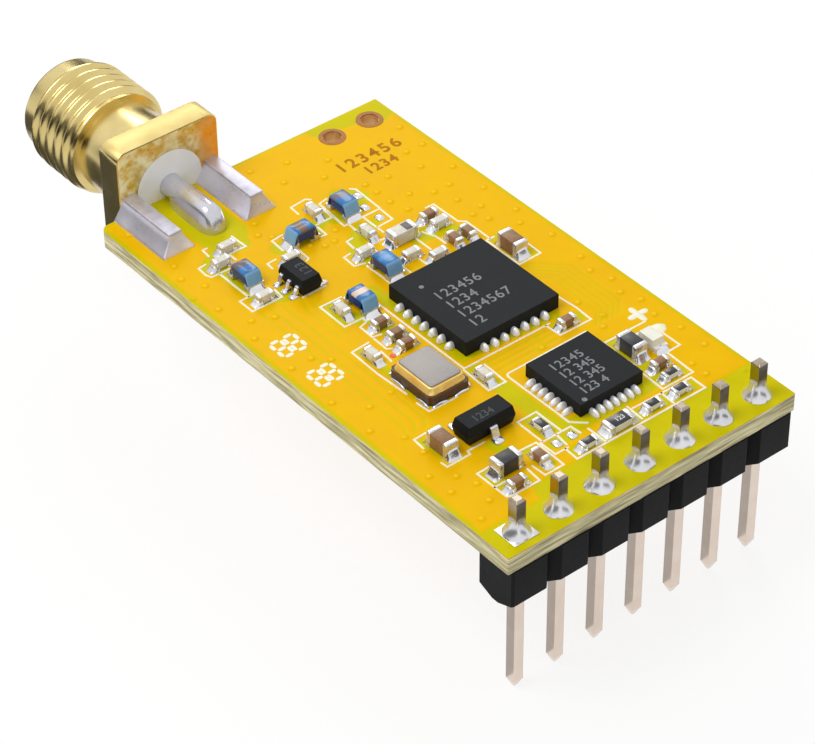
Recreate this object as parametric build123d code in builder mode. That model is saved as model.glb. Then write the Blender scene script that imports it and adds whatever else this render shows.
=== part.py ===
from build123d import *
from math import atan, degrees, radians, sqrt, tan
import os

# Radio transceiver module: a small circuit board with a seven-pin header under its
# near edge and an edge-mounted coax jack on its far edge.
# Millimetres, +Z up. The origin is the centre of the pin row on the underside of the
# header housing, +Y runs along the board towards the jack, +X along the pin row.

os.makedirs("parts", exist_ok=True)

# Board: the parts stand on a placement grid and their places are counted in its steps,
# x and y from the pin row
placement_grid = 0.05
circuit_steps = 538
board_side_margin = 0.21
board_thickness = 1.0
row_inset = 1.15
routed_corner_radius = 0.5
scored_corner_radius = 0.1
fit_clearance = 0.01

# Pin header
pin_count = 7
pin_pitch = 2.54
pin_width = 0.58
pin_below = 6.3
pin_above = 2.1
pin_tip_length = 0.45
pin_tip_width = 0.2
pin_top_chamfer = 0.1
pin_top_angle = 45
housing_height = 2.54
housing_depth = 2.45
housing_notch = 0.45
housing_end_notch = 0.1
housing_keel_width = 0.4
housing_keel_depth = 0.4
header_hole_diameter = 1.0
header_pad_size = 1.5
header_solder_height = 0.95
header_solder_neck = 0.03
header_solder_hollow = 0.13

# Open plated holes
open_hole_diameter = 1.0
open_hole_ring_width = 0.25
open_hole_ring_thickness = 0.04
open_hole_inset = 1.35
open_hole_pitches = 2.5

# Coax jack
coax_x = -4.58
coax_axis_height = 0.7
coax_length = 9.5
flange_size = 6.4
flange_thickness = 1.6
flange_corner = 0.6
neck_diameter = 5.2
thread_diameter = 6.35
thread_length = 4.0
thread_chamfer = 0.2
lead_ring_length = 0.8
lead_ring_chamfer = 0.15
mouth_diameter = 4.6
mouth_depth = 1.9
insulator_diameter = 4.1
contact_diameter = 1.27
socket_diameter = 0.94
socket_depth = 2.6
socket_slot_width = 0.2
socket_slot_depth = 1.8
tail_length = 3.9
tail_chamfer = 0.25
leg_width = 0.8
leg_length = 4.1
leg_top_height = 1.2
leg_side_inset = 0.2
coax_pad_side = 0.62
coax_pad_toe = 0.3
coax_solder_side = 0.54
coax_solder_toe = 0.22
coax_solder_rise = 1.0
coax_solder_lip = 0.02
tail_pad_side = 0.12
tail_pad_toe = 0.45
tail_pad_gap = 0.85
tail_solder_rise = 0.65
tail_solder_slope = 0.2

# Pads and solder of the surface-mount parts
pad_thickness = 0.04
pad_reach = 0.28
pad_side = 0.05
solder_rise_share = 0.55

# Leadless chip packages
terminals_a_side = 7
terminal_length = 0.4
terminal_height = 0.2
terminal_solder_rise = 0.16
transceiver_size = 6.0
transceiver_height = 0.85
transceiver_pitch = 0.65
transceiver_terminal_width = 0.3
transceiver_pad_reach = 0.25
transceiver_place = (34, 283)
controller_size = 4.0
controller_height = 0.75
controller_pitch = 0.45
controller_terminal_width = 0.22
controller_pad_reach = 0.5
controller_place = (39, 123)

# Leaded packages
package_standoff = 0.06
package_draft = 12
lead_anchor = 0.15
lead_shoulder = 0.08
lead_bend = 0.07
lead_pad_reach = 0.15
lead_pad_side = 0.08
switch_width = 1.25
switch_length = 2.0
switch_height = 0.9
switch_pitch = 0.65
switch_span = 2.1
switch_foot = 0.2
switch_lead_width = 0.22
switch_lead_thickness = 0.12
switch_place = (-80, 418)
regulator_width = 1.3
regulator_length = 2.9
regulator_height = 1.05
regulator_pitch = 1.9
regulator_span = 2.4
regulator_foot = 0.28
regulator_lead_width = 0.42
regulator_lead_thickness = 0.13
regulator_place = (-83, 129)

# Crystal package
crystal_width = 2.5
crystal_length = 3.2
crystal_base_height = 0.48
crystal_notch = 0.18
seal_width = 2.3
seal_length = 2.95
seal_height = 0.4
seal_draft = 28
seal_corner = 0.3
seal_wall = 0.15
lid_thickness = 0.08
lid_margin = 0.03
crystal_pad_width = 0.9
crystal_pad_length = 0.8
crystal_pad_reach = 0.12
crystal_place = (-77, 217)

# Two-terminal chips: length, width, height and the length of each end cap
small_capacitor = (1.0, 0.5, 0.5, 0.25)
large_capacitor = (1.5, 0.82, 0.85, 0.3)
small_resistor = (1.0, 0.5, 0.35, 0.22)
large_resistor = (1.6, 0.8, 0.45, 0.3)
ferrite = (1.45, 0.82, 0.85, 0.3)
filter_block = (1.6, 0.8, 0.75, 0.3)
end_cap_step = 0.02

# Wire-wound inductors: length, width, height and the length of each end foot
inductor = (1.7, 1.0, 0.92, 0.36)
inductor_foot_height = 0.28
inductor_flange_height = 0.7
inductor_bar_width = 0.5
inductor_bar_height = 0.3
winding_wall = 0.13
winding_gap = 0.02
cover_end_inset = 0.05
cover_slope = 0.2
cover_side_inset = 0.04

# Indicator lamp: a base with a clear lens moulded on it
lamp = (1.6, 0.8, 0.25, 0.3)
lamp_notch = 0.15
lens_length = 1.1
lens_height = 0.35
lens_draft = 8
lamp_place = (127, 123, True)

# Places on the board: grid steps from the pin row, and True where the part's long side
# runs along the board
cream_capacitor_places = [
    (-104, 510, False),
    (-124, 493, False),
    (-124, 420, False),
    (-65, 453, False),
    (2, 502, True),
    (22, 437, True),
    (-1, 413, False),
    (-77, 354, True),
    (89, 403, False),
    (54, 362, False),
    (33, 380, False),
    (-34, 186, True),
    (-98, 279, True),
]
brown_capacitor_places = [
    (88, 419, False),
    (83, 371, True),
    (101, 371, True),
    (-61, 313, False),
    (-60, 290, False),
    (-61, 272, False),
    (82, 197, False),
    (-71, 61, True),
    (-112, 47, False),
    (108, 90, False),
]
large_capacitor_places = [(121, 325, True), (-131, 132, True)]
small_resistor_places = [
    (-40, 95, True),
    (-22, 48, False),
    (62, 50, False),
    (98, 50, False),
    (107, 73, False),
]
large_resistor_place = (19, 51, False)
supply_ferrite_place = (-104, 72, False)
indicator_ferrite_place = (103, 125, True)
filter_place = (45, 410, False)
inductor_places = [
    (-119, 457, True),
    (-35, 475, False),
    (29, 486, True),
    (0, 379, True),
    (-55, 350, True),
]

# Worked out from the sizes above
board_bottom = housing_height
board_top = board_bottom + board_thickness
board_width = pin_count * pin_pitch + 2 * board_side_margin
board_near = -row_inset
board_far = circuit_steps * placement_grid + tail_pad_toe + tail_length
seat = board_top + pad_thickness
pin_xs = [(i - (pin_count - 1) / 2) * pin_pitch for i in range(pin_count)]
open_hole_x = open_hole_pitches * pin_pitch
open_hole_y = board_far - open_hole_inset
coax_z = board_top + coax_axis_height
leg_centre = flange_size / 2 - leg_side_inset - leg_width / 2
insulator_end = coax_length - mouth_depth
standing = (Align.CENTER, Align.CENTER, Align.MIN)


def level_plane(x, y, turned=False, height=seat):
    """The level plane of a part at grid steps x, y, its own X axis along its long side."""
    origin = (x * placement_grid, y * placement_grid, height)
    return Plane(origin=origin, x_dir=(0, 1, 0) if turned else (1, 0, 0))


def side_plane(level):
    """The upright plane through a level plane's X axis, its own Y axis upwards."""
    return Plane(origin=level.origin, x_dir=level.x_dir, z_dir=-level.y_dir)


def side_row(place, angle, out, offsets, height=seat):
    """Level planes in a row beside a package, each with its X axis pointing outwards."""
    centre = level_plane(*place[:2], height=height).rotated((0, 0, angle))
    return [
        Plane(origin=centre.from_local_coords((out, offset, 0)), x_dir=centre.x_dir)
        for offset in offsets
    ]


def finish(piece, label):
    """Label a finished piece and write it to its own file."""
    piece.part.label = label
    export_step(piece.part, "parts/" + label + ".step")


# The board: one corner routed round, the other three scored and snapped
with BuildPart() as circuit_board:
    with BuildSketch(Plane.XY.offset(board_bottom)) as board_outline:
        with Locations((0, (board_near + board_far) / 2)):
            Rectangle(board_width, board_far - board_near)
        corners = board_outline.vertices().sort_by_distance((-board_width / 2, board_far))
        fillet(corners[1:], radius=scored_corner_radius)
        corners = board_outline.vertices().sort_by_distance((-board_width / 2, board_far))
        fillet(corners[:1], radius=routed_corner_radius)
        with GridLocations(pin_pitch, 0, pin_count, 1):
            Circle(header_hole_diameter / 2, mode=Mode.SUBTRACT)
        with Locations((open_hole_x, open_hole_y)):
            with GridLocations(pin_pitch, 0, 2, 1):
                Circle(open_hole_diameter / 2, mode=Mode.SUBTRACT)
    extrude(amount=board_thickness)
finish(circuit_board, "circuit_board")


# Eyelets of the two open holes: a plated ring on each face of the board
with BuildPart() as hole_eyelets:
    for ring_level in (board_bottom - open_hole_ring_thickness, board_top):
        with BuildSketch(Plane((open_hole_x, open_hole_y, ring_level))):
            with GridLocations(pin_pitch, 0, 2, 1):
                Circle(open_hole_diameter / 2 + open_hole_ring_width)
                Circle(open_hole_diameter / 2, mode=Mode.SUBTRACT)
        extrude(amount=open_hole_ring_thickness)
finish(hole_eyelets, "hole_eyelets")


# Header housing: a moulded strip of octagonal segments, notched where they snap apart,
# with an underside that slopes down to a narrow flat keel along the pin row
with BuildPart() as header_housing:
    with BuildSketch():
        Rectangle(pin_count * pin_pitch, housing_depth)
        with GridLocations(pin_pitch, housing_depth, pin_count - 1, 2):
            notch_side = housing_notch * sqrt(2)
            Rectangle(notch_side, notch_side, rotation=45, mode=Mode.SUBTRACT)
        with GridLocations(pin_count * pin_pitch, housing_depth, 2, 2):
            end_notch_side = housing_end_notch * sqrt(2)
            Rectangle(end_notch_side, end_notch_side, rotation=45, mode=Mode.SUBTRACT)
        with GridLocations(pin_pitch, 0, pin_count, 1):
            hole_side = pin_width + 2 * fit_clearance
            Rectangle(hole_side, hole_side, mode=Mode.SUBTRACT)
    extrude(amount=housing_height)
    with BuildSketch(Plane.YZ):
        Polygon(
            (housing_keel_width / 2, 0),
            (housing_depth / 2, 0),
            (housing_depth / 2, housing_keel_depth),
            align=None,
        )
        mirror(about=Plane.YZ)
    extrude(amount=pin_count * pin_pitch / 2, both=True, mode=Mode.SUBTRACT)
finish(header_housing, "header_housing")


# Header pins: square wire, coined to a blunt pyramid below and chamfered above
with BuildPart() as header_pins:
    shaft_low = -pin_below + pin_tip_length
    shaft_high = board_top + pin_above - pin_top_chamfer
    with BuildSketch(Plane.XY.offset(shaft_low)):
        with GridLocations(pin_pitch, 0, pin_count, 1):
            Rectangle(pin_width, pin_width)
    extrude(amount=shaft_high - shaft_low)
    with BuildSketch(Plane.XY.offset(shaft_high)):
        with GridLocations(pin_pitch, 0, pin_count, 1):
            Rectangle(pin_width, pin_width)
    extrude(amount=pin_top_chamfer, taper=pin_top_angle)
    with BuildSketch(Plane((0, 0, shaft_low), z_dir=(0, 0, -1))):
        with GridLocations(pin_pitch, 0, pin_count, 1):
            Rectangle(pin_width, pin_width)
    pin_tip_angle = degrees(atan((pin_width - pin_tip_width) / 2 / pin_tip_length))
    extrude(amount=pin_tip_length, taper=pin_tip_angle)
finish(header_pins, "header_pins")


# Header solder: each hole filled to the pin, with a hollow-sided cone on its pad.
# The first pin's pad is square.
with BuildPart() as solder_cone:
    foot_radius = header_pad_size / 2
    neck_radius = pin_width / sqrt(2) + header_solder_neck
    with BuildSketch(Plane.XZ):
        Polygon(
            (foot_radius, board_top),
            (
                (foot_radius + neck_radius) / 2 - header_solder_hollow,
                board_top + header_solder_height / 2 - header_solder_hollow,
            ),
            (neck_radius, board_top + header_solder_height),
            (0, board_top + header_solder_height),
            (0, board_bottom),
            (header_hole_diameter / 2, board_bottom),
            (header_hole_diameter / 2, board_top),
            align=None,
        )
    revolve(axis=Axis.Z)

with BuildPart() as header_solder:
    with Locations(*[(x, 0, 0) for x in pin_xs]):
        add(solder_cone.part)
    with Locations((pin_xs[0], 0, board_top)):
        Box(header_pad_size, header_pad_size, pad_thickness, align=standing)
    add(header_pins.part, mode=Mode.SUBTRACT)
finish(header_solder, "header_solder")


# Coax jack. Its planes look along the jack from the board's edge: X to the left, Y up.
jack_plane = Plane(origin=(coax_x, board_far, coax_z), x_dir=(-1, 0, 0), z_dir=(0, 1, 0))
jack_section = Plane(origin=(coax_x, board_far, coax_z), x_dir=(0, 1, 0), z_dir=(1, 0, 0))
jack_axis = Axis(jack_plane.origin, jack_plane.z_dir)

with BuildPart() as coax_body:
    with BuildSketch(jack_plane):
        RectangleRounded(flange_size, flange_size, flange_corner)
    extrude(amount=flange_thickness)

    # Two legs above the board and two below, soldered to it
    with BuildSketch(jack_plane):
        with Locations((0, leg_top_height - coax_axis_height)):
            with GridLocations(2 * leg_centre, 0, 2, 1):
                Rectangle(leg_width, leg_top_height - pad_thickness, align=(Align.CENTER, Align.MAX))
        with Locations((0, -flange_size / 2)):
            leg_bottom_height = flange_size / 2 - coax_axis_height - board_thickness
            with GridLocations(2 * leg_centre, 0, 2, 1):
                Rectangle(leg_width, leg_bottom_height - pad_thickness, align=(Align.CENTER, Align.MIN))
    extrude(amount=-leg_length)

    # Neck, thread and lead ring are turned from one bar with the flange
    with BuildSketch(jack_section):
        neck_end = coax_length - lead_ring_length - thread_length
        thread_end = neck_end + thread_length
        thread_root = thread_diameter / 2 - thread_chamfer
        with BuildLine():
            Polyline(
                (0, 0),
                (0, neck_diameter / 2),
                (neck_end, neck_diameter / 2),
                (neck_end, thread_root),
                (neck_end + thread_chamfer, thread_diameter / 2),
                (thread_end - thread_chamfer, thread_diameter / 2),
                (thread_end, thread_root),
                (coax_length - lead_ring_chamfer, thread_root),
                (coax_length, thread_root - lead_ring_chamfer),
                (coax_length, 0),
                close=True,
            )
        make_face()
    revolve(axis=jack_axis)

    with BuildSketch(jack_plane):
        Circle(insulator_diameter / 2 + fit_clearance)
    extrude(amount=insulator_end, mode=Mode.SUBTRACT)
    with BuildSketch(jack_plane.offset(insulator_end)):
        Circle(mouth_diameter / 2)
    extrude(amount=mouth_depth, mode=Mode.SUBTRACT)
finish(coax_body, "coax_body")

with BuildPart() as coax_insulator:
    with BuildSketch(jack_plane):
        Circle(insulator_diameter / 2)
        Circle(contact_diameter / 2 + fit_clearance, mode=Mode.SUBTRACT)
    extrude(amount=insulator_end)
finish(coax_insulator, "coax_insulator")

# Centre contact: a chamfered solder tail at the board, a slotted socket at the mouth
with BuildPart() as coax_contact:
    with BuildSketch(jack_plane.offset(-tail_length)):
        Circle(contact_diameter / 2)
    extrude(amount=tail_length + insulator_end)
    chamfer(coax_contact.edges().sort_by(Axis.Y)[:1], length=tail_chamfer)
    with BuildSketch(jack_plane.offset(insulator_end)):
        Circle(socket_diameter / 2)
    extrude(amount=-socket_depth, mode=Mode.SUBTRACT)
    with BuildSketch(jack_plane.offset(insulator_end)):
        Rectangle(contact_diameter, socket_slot_width)
        Rectangle(socket_slot_width, contact_diameter)
    extrude(amount=-socket_slot_depth, mode=Mode.SUBTRACT)
finish(coax_contact, "coax_contact")

# Solder round the legs, above and below the board, and round the contact's tail
with BuildPart() as coax_solder:
    pad_middle = board_far - (leg_length + coax_pad_toe) / 2
    with Locations((coax_x, pad_middle, board_top)):
        with GridLocations(2 * leg_centre, 0, 2, 1):
            Box(
                leg_width + 2 * coax_pad_side,
                leg_length + coax_pad_toe,
                pad_thickness,
                align=standing,
            )
    for side in (-1, 1):
        leg_x = coax_x + side * leg_centre
        with BuildSketch(Plane((leg_x, board_far, seat))):
            Rectangle(
                leg_width + 2 * coax_solder_side,
                leg_length + coax_solder_toe,
                align=(Align.CENTER, Align.MAX),
            )
        with BuildSketch(Plane((leg_x, board_far, seat + coax_solder_rise))):
            Rectangle(
                leg_width + 2 * coax_solder_lip,
                leg_length + coax_solder_lip,
                align=(Align.CENTER, Align.MAX),
            )
        loft(ruled=True)
    mirror(about=Plane.XY.offset(board_bottom + board_thickness / 2))

    # A round-nosed mound along the tail, narrower at its top
    tail_pad_width = contact_diameter + 2 * tail_pad_side
    for mound_level, mound_width, mound_shift in (
        (board_top, tail_pad_width, 0),
        (seat + tail_solder_rise, contact_diameter, tail_solder_slope),
    ):
        nose_y = board_far - tail_length - tail_pad_toe + mound_width / 2 + mound_shift
        with BuildSketch(Plane((coax_x, nose_y, mound_level))):
            Circle(mound_width / 2)
            Rectangle(
                mound_width,
                board_far - tail_pad_gap - nose_y,
                align=(Align.CENTER, Align.MIN),
            )
    loft(ruled=True)
    add(coax_contact.part, mode=Mode.SUBTRACT)
    add(coax_body.part, mode=Mode.SUBTRACT)
finish(coax_solder, "coax_solder")


# Leadless chips: a moulded block with a row of terminals let into each lower edge
def terminal_planes(place, size, pitch, height=seat):
    """Level planes at the package's edge, one for each terminal, looking outwards."""
    offsets = [(i - (terminals_a_side - 1) / 2) * pitch for i in range(terminals_a_side)]
    rows = [side_row(place, 90 * side, size / 2, offsets, height) for side in range(4)]
    return [plane for row in rows for plane in row]


def leadless_chip(name, place, size, height, pitch, width):
    """The terminals and the moulded body of one leadless package."""
    with BuildPart(*terminal_planes(place, size, pitch)) as terminals:
        Box(
            terminal_length,
            width,
            terminal_height,
            align=(Align.MAX, Align.CENTER, Align.MIN),
        )
    finish(terminals, name + "_terminals")
    with BuildPart() as body:
        with BuildSketch(level_plane(*place)):
            Rectangle(size, size)
        extrude(amount=height)
        add(terminals.part, mode=Mode.SUBTRACT)
    finish(body, name + "_body")


leadless_chip(
    "transceiver",
    transceiver_place,
    transceiver_size,
    transceiver_height,
    transceiver_pitch,
    transceiver_terminal_width,
)
leadless_chip(
    "controller",
    controller_place,
    controller_size,
    controller_height,
    controller_pitch,
    controller_terminal_width,
)


# Leaded packages: gull-wing leads bent from strip, in a body drafted from its parting line
def leaded_package(name, lead_planes, thickness, width, body_half, reach, foot, body):
    """The bent leads and the moulded body of one leaded package."""
    body_x, body_y, body_height, place = body
    exit_height = package_standoff + body_height / 2
    with BuildPart() as leads:
        with BuildSketch(*[side_plane(plane) for plane in lead_planes]):
            with BuildLine():
                FilletPolyline(
                    (body_half - lead_anchor, exit_height),
                    (body_half + lead_shoulder, exit_height),
                    (reach - foot, thickness / 2),
                    (reach, thickness / 2),
                    radius=lead_bend,
                )
            trace(line_width=thickness)
        extrude(amount=width / 2, both=True)
    finish(leads, name + "_leads")
    with BuildPart() as moulding:
        parting = level_plane(*place, height=seat + exit_height)
        with BuildSketch(parting, -parting):
            Rectangle(body_x, body_y)
        extrude(amount=body_height / 2, taper=package_draft)
        add(leads.part, mode=Mode.SUBTRACT)
    finish(moulding, name + "_body")


switch_offsets = (-switch_pitch, 0, switch_pitch)
switch_lead_planes = side_row(switch_place, 0, 0, switch_offsets) + side_row(
    switch_place, 180, 0, switch_offsets
)
leaded_package(
    "rf_switch",
    switch_lead_planes,
    switch_lead_thickness,
    switch_lead_width,
    switch_width / 2,
    switch_span / 2,
    switch_foot,
    (switch_width, switch_length, switch_height, switch_place),
)

regulator_offsets = (-regulator_pitch / 2, regulator_pitch / 2)
regulator_lead_planes = side_row(regulator_place, -90, 0, (0,)) + side_row(
    regulator_place, 90, 0, regulator_offsets
)
leaded_package(
    "regulator",
    regulator_lead_planes,
    regulator_lead_thickness,
    regulator_lead_width,
    regulator_width / 2,
    regulator_span / 2,
    regulator_foot,
    (regulator_length, regulator_width, regulator_height, regulator_place),
)


# Crystal: a ceramic base with notched corners, a sloping seal ring and a welded lid
with BuildPart() as crystal_base:
    with BuildSketch(level_plane(*crystal_place)):
        Rectangle(crystal_width, crystal_length)
        with GridLocations(crystal_width, crystal_length, 2, 2):
            Circle(crystal_notch, mode=Mode.SUBTRACT)
    extrude(amount=crystal_base_height)
finish(crystal_base, "crystal_base")

seal_inset = seal_height * tan(radians(seal_draft))
seal_top_width = seal_width - 2 * seal_inset
seal_top_length = seal_length - 2 * seal_inset
seal_foot_plane = level_plane(*crystal_place, height=seat + crystal_base_height)
seal_top_plane = seal_foot_plane.offset(seal_height)
with BuildPart() as crystal_seal_ring:
    with BuildSketch(seal_foot_plane):
        RectangleRounded(seal_width, seal_length, seal_corner)
    with BuildSketch(seal_top_plane):
        RectangleRounded(seal_top_width, seal_top_length, seal_corner - seal_inset)
    loft(ruled=True)
    with BuildSketch(seal_foot_plane):
        Rectangle(seal_top_width - 2 * seal_wall, seal_top_length - 2 * seal_wall)
    extrude(amount=seal_height, mode=Mode.SUBTRACT)
finish(crystal_seal_ring, "crystal_seal_ring")

with BuildPart(seal_top_plane) as crystal_lid:
    Box(
        seal_top_width - 2 * lid_margin,
        seal_top_length - 2 * lid_margin,
        lid_thickness,
        align=standing,
    )
finish(crystal_lid, "crystal_lid")


# Two-terminal chips: a block between two slightly larger end caps
def chips(name, size, *places):
    """One node of equal chips on the board, with one solid for each place."""
    length, width, height, cap = size
    with BuildPart(*[level_plane(*place) for place in places]) as piece:
        Box(length - cap, width - 2 * end_cap_step, height - end_cap_step, align=standing)
        with GridLocations(length - cap, 0, 2, 1):
            Box(cap, width, height, align=standing)
    finish(piece, name)


capacitors = [(small_capacitor, place) for place in cream_capacitor_places]
capacitors += [(small_capacitor, place) for place in brown_capacitor_places]
capacitors += [(large_capacitor, place) for place in large_capacitor_places]
for number, (size, place) in enumerate(capacitors, start=1):
    chips(f"capacitor_{number:02d}", size, place)
chips("chip_resistors", small_resistor, *small_resistor_places)
chips("coded_resistor", large_resistor, large_resistor_place)
chips("supply_ferrite", ferrite, supply_ferrite_place)
chips("indicator_ferrite", ferrite, indicator_ferrite_place)
chips("antenna_filter", filter_block, filter_place)


# Wire-wound inductors: a ceramic bobbin on two plated feet, a winding round its bar and a
# cover cast over the top, open at the sides where the wire shows
inductor_length, inductor_width, inductor_height, inductor_foot = inductor
core_width = inductor_width - 2 * cover_side_inset
bar_length = inductor_length - 2 * inductor_foot
bar_height = (inductor_foot_height + inductor_flange_height) / 2
winding_top = bar_height + inductor_bar_height / 2 + winding_wall
inductor_planes = [level_plane(*place) for place in inductor_places]

with BuildPart(*inductor_planes) as inductor_cores:
    with GridLocations(inductor_length - inductor_foot, 0, 2, 1):
        Box(inductor_foot, inductor_width, inductor_foot_height, align=standing)
    flange_inset = cover_end_inset + cover_slope
    flange_depth = inductor_foot - flange_inset
    with GridLocations(bar_length + flange_depth, 0, 2, 1):
        Box(flange_depth, core_width, inductor_flange_height, align=standing)
    with Locations((0, 0, bar_height)):
        Box(bar_length + flange_depth, inductor_bar_width, inductor_bar_height)
finish(inductor_cores, "inductor_cores")

with BuildPart(*inductor_planes) as inductor_windings:
    winding_planes = [
        Plane(plane.from_local_coords((0, 0, bar_height)), x_dir=plane.y_dir, z_dir=plane.x_dir)
        for plane in inductor_planes
    ]
    with BuildSketch(*winding_planes):
        Rectangle(
            inductor_bar_width + 2 * winding_wall,
            inductor_bar_height + 2 * winding_wall,
        )
        Rectangle(inductor_bar_width, inductor_bar_height, mode=Mode.SUBTRACT)
    extrude(amount=bar_length / 2 - winding_gap, both=True)
finish(inductor_windings, "inductor_windings")

with BuildPart() as inductor_covers:
    cover_end = inductor_length / 2 - cover_end_inset
    with BuildSketch(*[side_plane(plane) for plane in inductor_planes]):
        with BuildLine():
            Polyline(
                (-cover_end, inductor_foot_height),
                (-cover_end + cover_slope, inductor_height),
                (cover_end - cover_slope, inductor_height),
                (cover_end, inductor_foot_height),
                (bar_length / 2, inductor_foot_height),
                (bar_length / 2, winding_top + winding_gap),
                (-bar_length / 2, winding_top + winding_gap),
                (-bar_length / 2, inductor_foot_height),
                close=True,
            )
        make_face()
    extrude(amount=core_width / 2, both=True)
    add(inductor_cores.part, mode=Mode.SUBTRACT)
finish(inductor_covers, "inductor_covers")


# Indicator lamp
lamp_length, lamp_width, lamp_base_height, lamp_cap = lamp
with BuildPart() as led_base:
    with BuildSketch(level_plane(*lamp_place)):
        Rectangle(lamp_length, lamp_width)
        with GridLocations(lamp_length, 0, 2, 1):
            Circle(lamp_notch, mode=Mode.SUBTRACT)
    extrude(amount=lamp_base_height)
finish(led_base, "led_base")

with BuildPart() as led_lens:
    with BuildSketch(level_plane(*lamp_place, height=seat + lamp_base_height)):
        Rectangle(lens_length, lamp_width)
    extrude(amount=lens_height, taper=lens_draft)
finish(led_lens, "led_lens")


# Pads and solder under every surface-mount part
def solder_outline(under, rise, reach):
    """Side view of a pad with its fillet: x = 0 is the part's end, upwards is positive."""
    return [
        (-under, 0),
        (reach, 0),
        (reach, pad_thickness),
        (0, pad_thickness + rise),
        (0, pad_thickness),
        (-under, pad_thickness),
    ]


def end_planes(size, places):
    """Upright planes at both ends of each chip, each looking outwards from its end."""
    planes = []
    for place in places:
        for angle in (0, 180):
            turn = angle + 90 if place[2] else angle
            row = side_row(place, turn, size[0] / 2, (0,), board_top)
            planes.append(side_plane(row[0]))
    return planes


with BuildPart() as component_solder:
    chip_rows = [
        (small_capacitor, cream_capacitor_places + brown_capacitor_places),
        (large_capacitor, large_capacitor_places),
        (small_resistor, small_resistor_places),
        (large_resistor, [large_resistor_place]),
        (ferrite, [supply_ferrite_place, indicator_ferrite_place]),
        (filter_block, [filter_place]),
        (lamp, [lamp_place]),
    ]
    for size, places in chip_rows:
        with BuildSketch(*end_planes(size, places)):
            Polygon(
                *solder_outline(size[3], solder_rise_share * size[2], pad_reach),
                align=None,
            )
        extrude(amount=size[1] / 2 + pad_side, both=True)

    with BuildSketch(*end_planes(inductor, inductor_places)):
        Polygon(*solder_outline(inductor_foot, inductor_foot_height, pad_reach), align=None)
    extrude(amount=inductor_width / 2, both=True)

    leadless_rows = [
        (transceiver_place, transceiver_size, transceiver_pitch, transceiver_terminal_width),
        (controller_place, controller_size, controller_pitch, controller_terminal_width),
    ]
    pad_reaches = [transceiver_pad_reach, controller_pad_reach]
    for (place, size, pitch, width), reach in zip(leadless_rows, pad_reaches):
        planes = terminal_planes(place, size, pitch, board_top)
        with BuildSketch(*[side_plane(plane) for plane in planes]):
            Polygon(*solder_outline(terminal_length, terminal_solder_rise, reach), align=None)
        extrude(amount=width / 2, both=True)

    lead_rows = [
        (switch_lead_planes, switch_span, switch_foot, switch_lead_width),
        (regulator_lead_planes, regulator_span, regulator_foot, regulator_lead_width),
    ]
    for planes, span, foot, width in lead_rows:
        pad_planes = [
            Plane(plane.from_local_coords((span / 2 - foot, 0, -pad_thickness)), x_dir=plane.x_dir)
            for plane in planes
        ]
        with BuildSketch(*pad_planes):
            Rectangle(
                foot + lead_pad_reach,
                width + 2 * lead_pad_side,
                align=(Align.MIN, Align.CENTER),
            )
        extrude(amount=pad_thickness)

    with BuildSketch(level_plane(*crystal_place, height=board_top)):
        with GridLocations(
            crystal_width + 2 * crystal_pad_reach - crystal_pad_width,
            crystal_length + 2 * crystal_pad_reach - crystal_pad_length,
            2,
            2,
        ):
            Rectangle(crystal_pad_width, crystal_pad_length)
    extrude(amount=pad_thickness)
finish(component_solder, "component_solder")
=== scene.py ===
import math
import random

import bmesh
import bpy
import numpy as np
from mathutils import Matrix, Vector


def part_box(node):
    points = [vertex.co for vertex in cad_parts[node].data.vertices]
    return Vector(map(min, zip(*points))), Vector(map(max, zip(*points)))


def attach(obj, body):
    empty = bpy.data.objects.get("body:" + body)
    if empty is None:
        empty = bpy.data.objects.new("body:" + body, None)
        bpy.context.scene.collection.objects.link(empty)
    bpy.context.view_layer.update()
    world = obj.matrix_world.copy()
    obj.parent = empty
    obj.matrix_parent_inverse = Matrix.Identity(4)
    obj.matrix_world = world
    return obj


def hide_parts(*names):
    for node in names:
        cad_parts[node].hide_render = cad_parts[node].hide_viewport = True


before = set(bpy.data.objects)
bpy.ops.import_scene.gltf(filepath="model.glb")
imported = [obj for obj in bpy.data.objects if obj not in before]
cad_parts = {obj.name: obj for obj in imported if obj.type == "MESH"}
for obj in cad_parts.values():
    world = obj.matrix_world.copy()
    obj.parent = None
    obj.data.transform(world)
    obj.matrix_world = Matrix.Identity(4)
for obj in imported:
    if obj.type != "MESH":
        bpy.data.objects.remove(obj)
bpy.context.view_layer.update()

# Radio transceiver module. Sizes are millimetres in the row frame, as in the part's source:
# +X along the pin row, +Y along the board from the header to the coax jack, +Z up.
MM = 0.001
TURN = 2 * math.pi
rng = random.Random(7)


def node_box(node):
    """Lowest and highest corner of a CAD node."""
    low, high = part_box(node)
    return low / MM, high / MM


def solids(node):
    """The box of each separate solid in a CAD node, sorted by its lowest corner."""
    bm = bmesh.new()
    bm.from_mesh(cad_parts[node].data)
    bmesh.ops.remove_doubles(bm, verts=bm.verts, dist=1e-6)
    seen = set()
    boxes = []
    for start in bm.verts:
        if start in seen:
            continue
        seen.add(start)
        waiting = [start]
        group = []
        while waiting:
            vertex = waiting.pop()
            group.append(vertex.co / MM)
            for edge in vertex.link_edges:
                other = edge.other_vert(vertex)
                if other not in seen:
                    seen.add(other)
                    waiting.append(other)
        low = Vector([min(point[axis] for point in group) for axis in range(3)])
        high = Vector([max(point[axis] for point in group) for axis in range(3)])
        boxes.append((low, high))
    bm.free()
    return sorted(boxes, key=lambda box: tuple(round(value, 3) for value in box[0]))


def long_axis(low, high):
    """0 where a box is longest along X, otherwise 1."""
    size = high - low
    return 0 if size.x > size.y else 1


def around(count):
    """Unit vectors at equal angles all the way round."""
    return [Vector((math.cos(TURN * i / count), math.sin(TURN * i / count))) for i in range(count)]


def bulged(value, power):
    """A sine or cosine raised to a power with its sign kept, which squares a circle off."""
    return math.copysign(abs(value) ** power, value)


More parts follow.
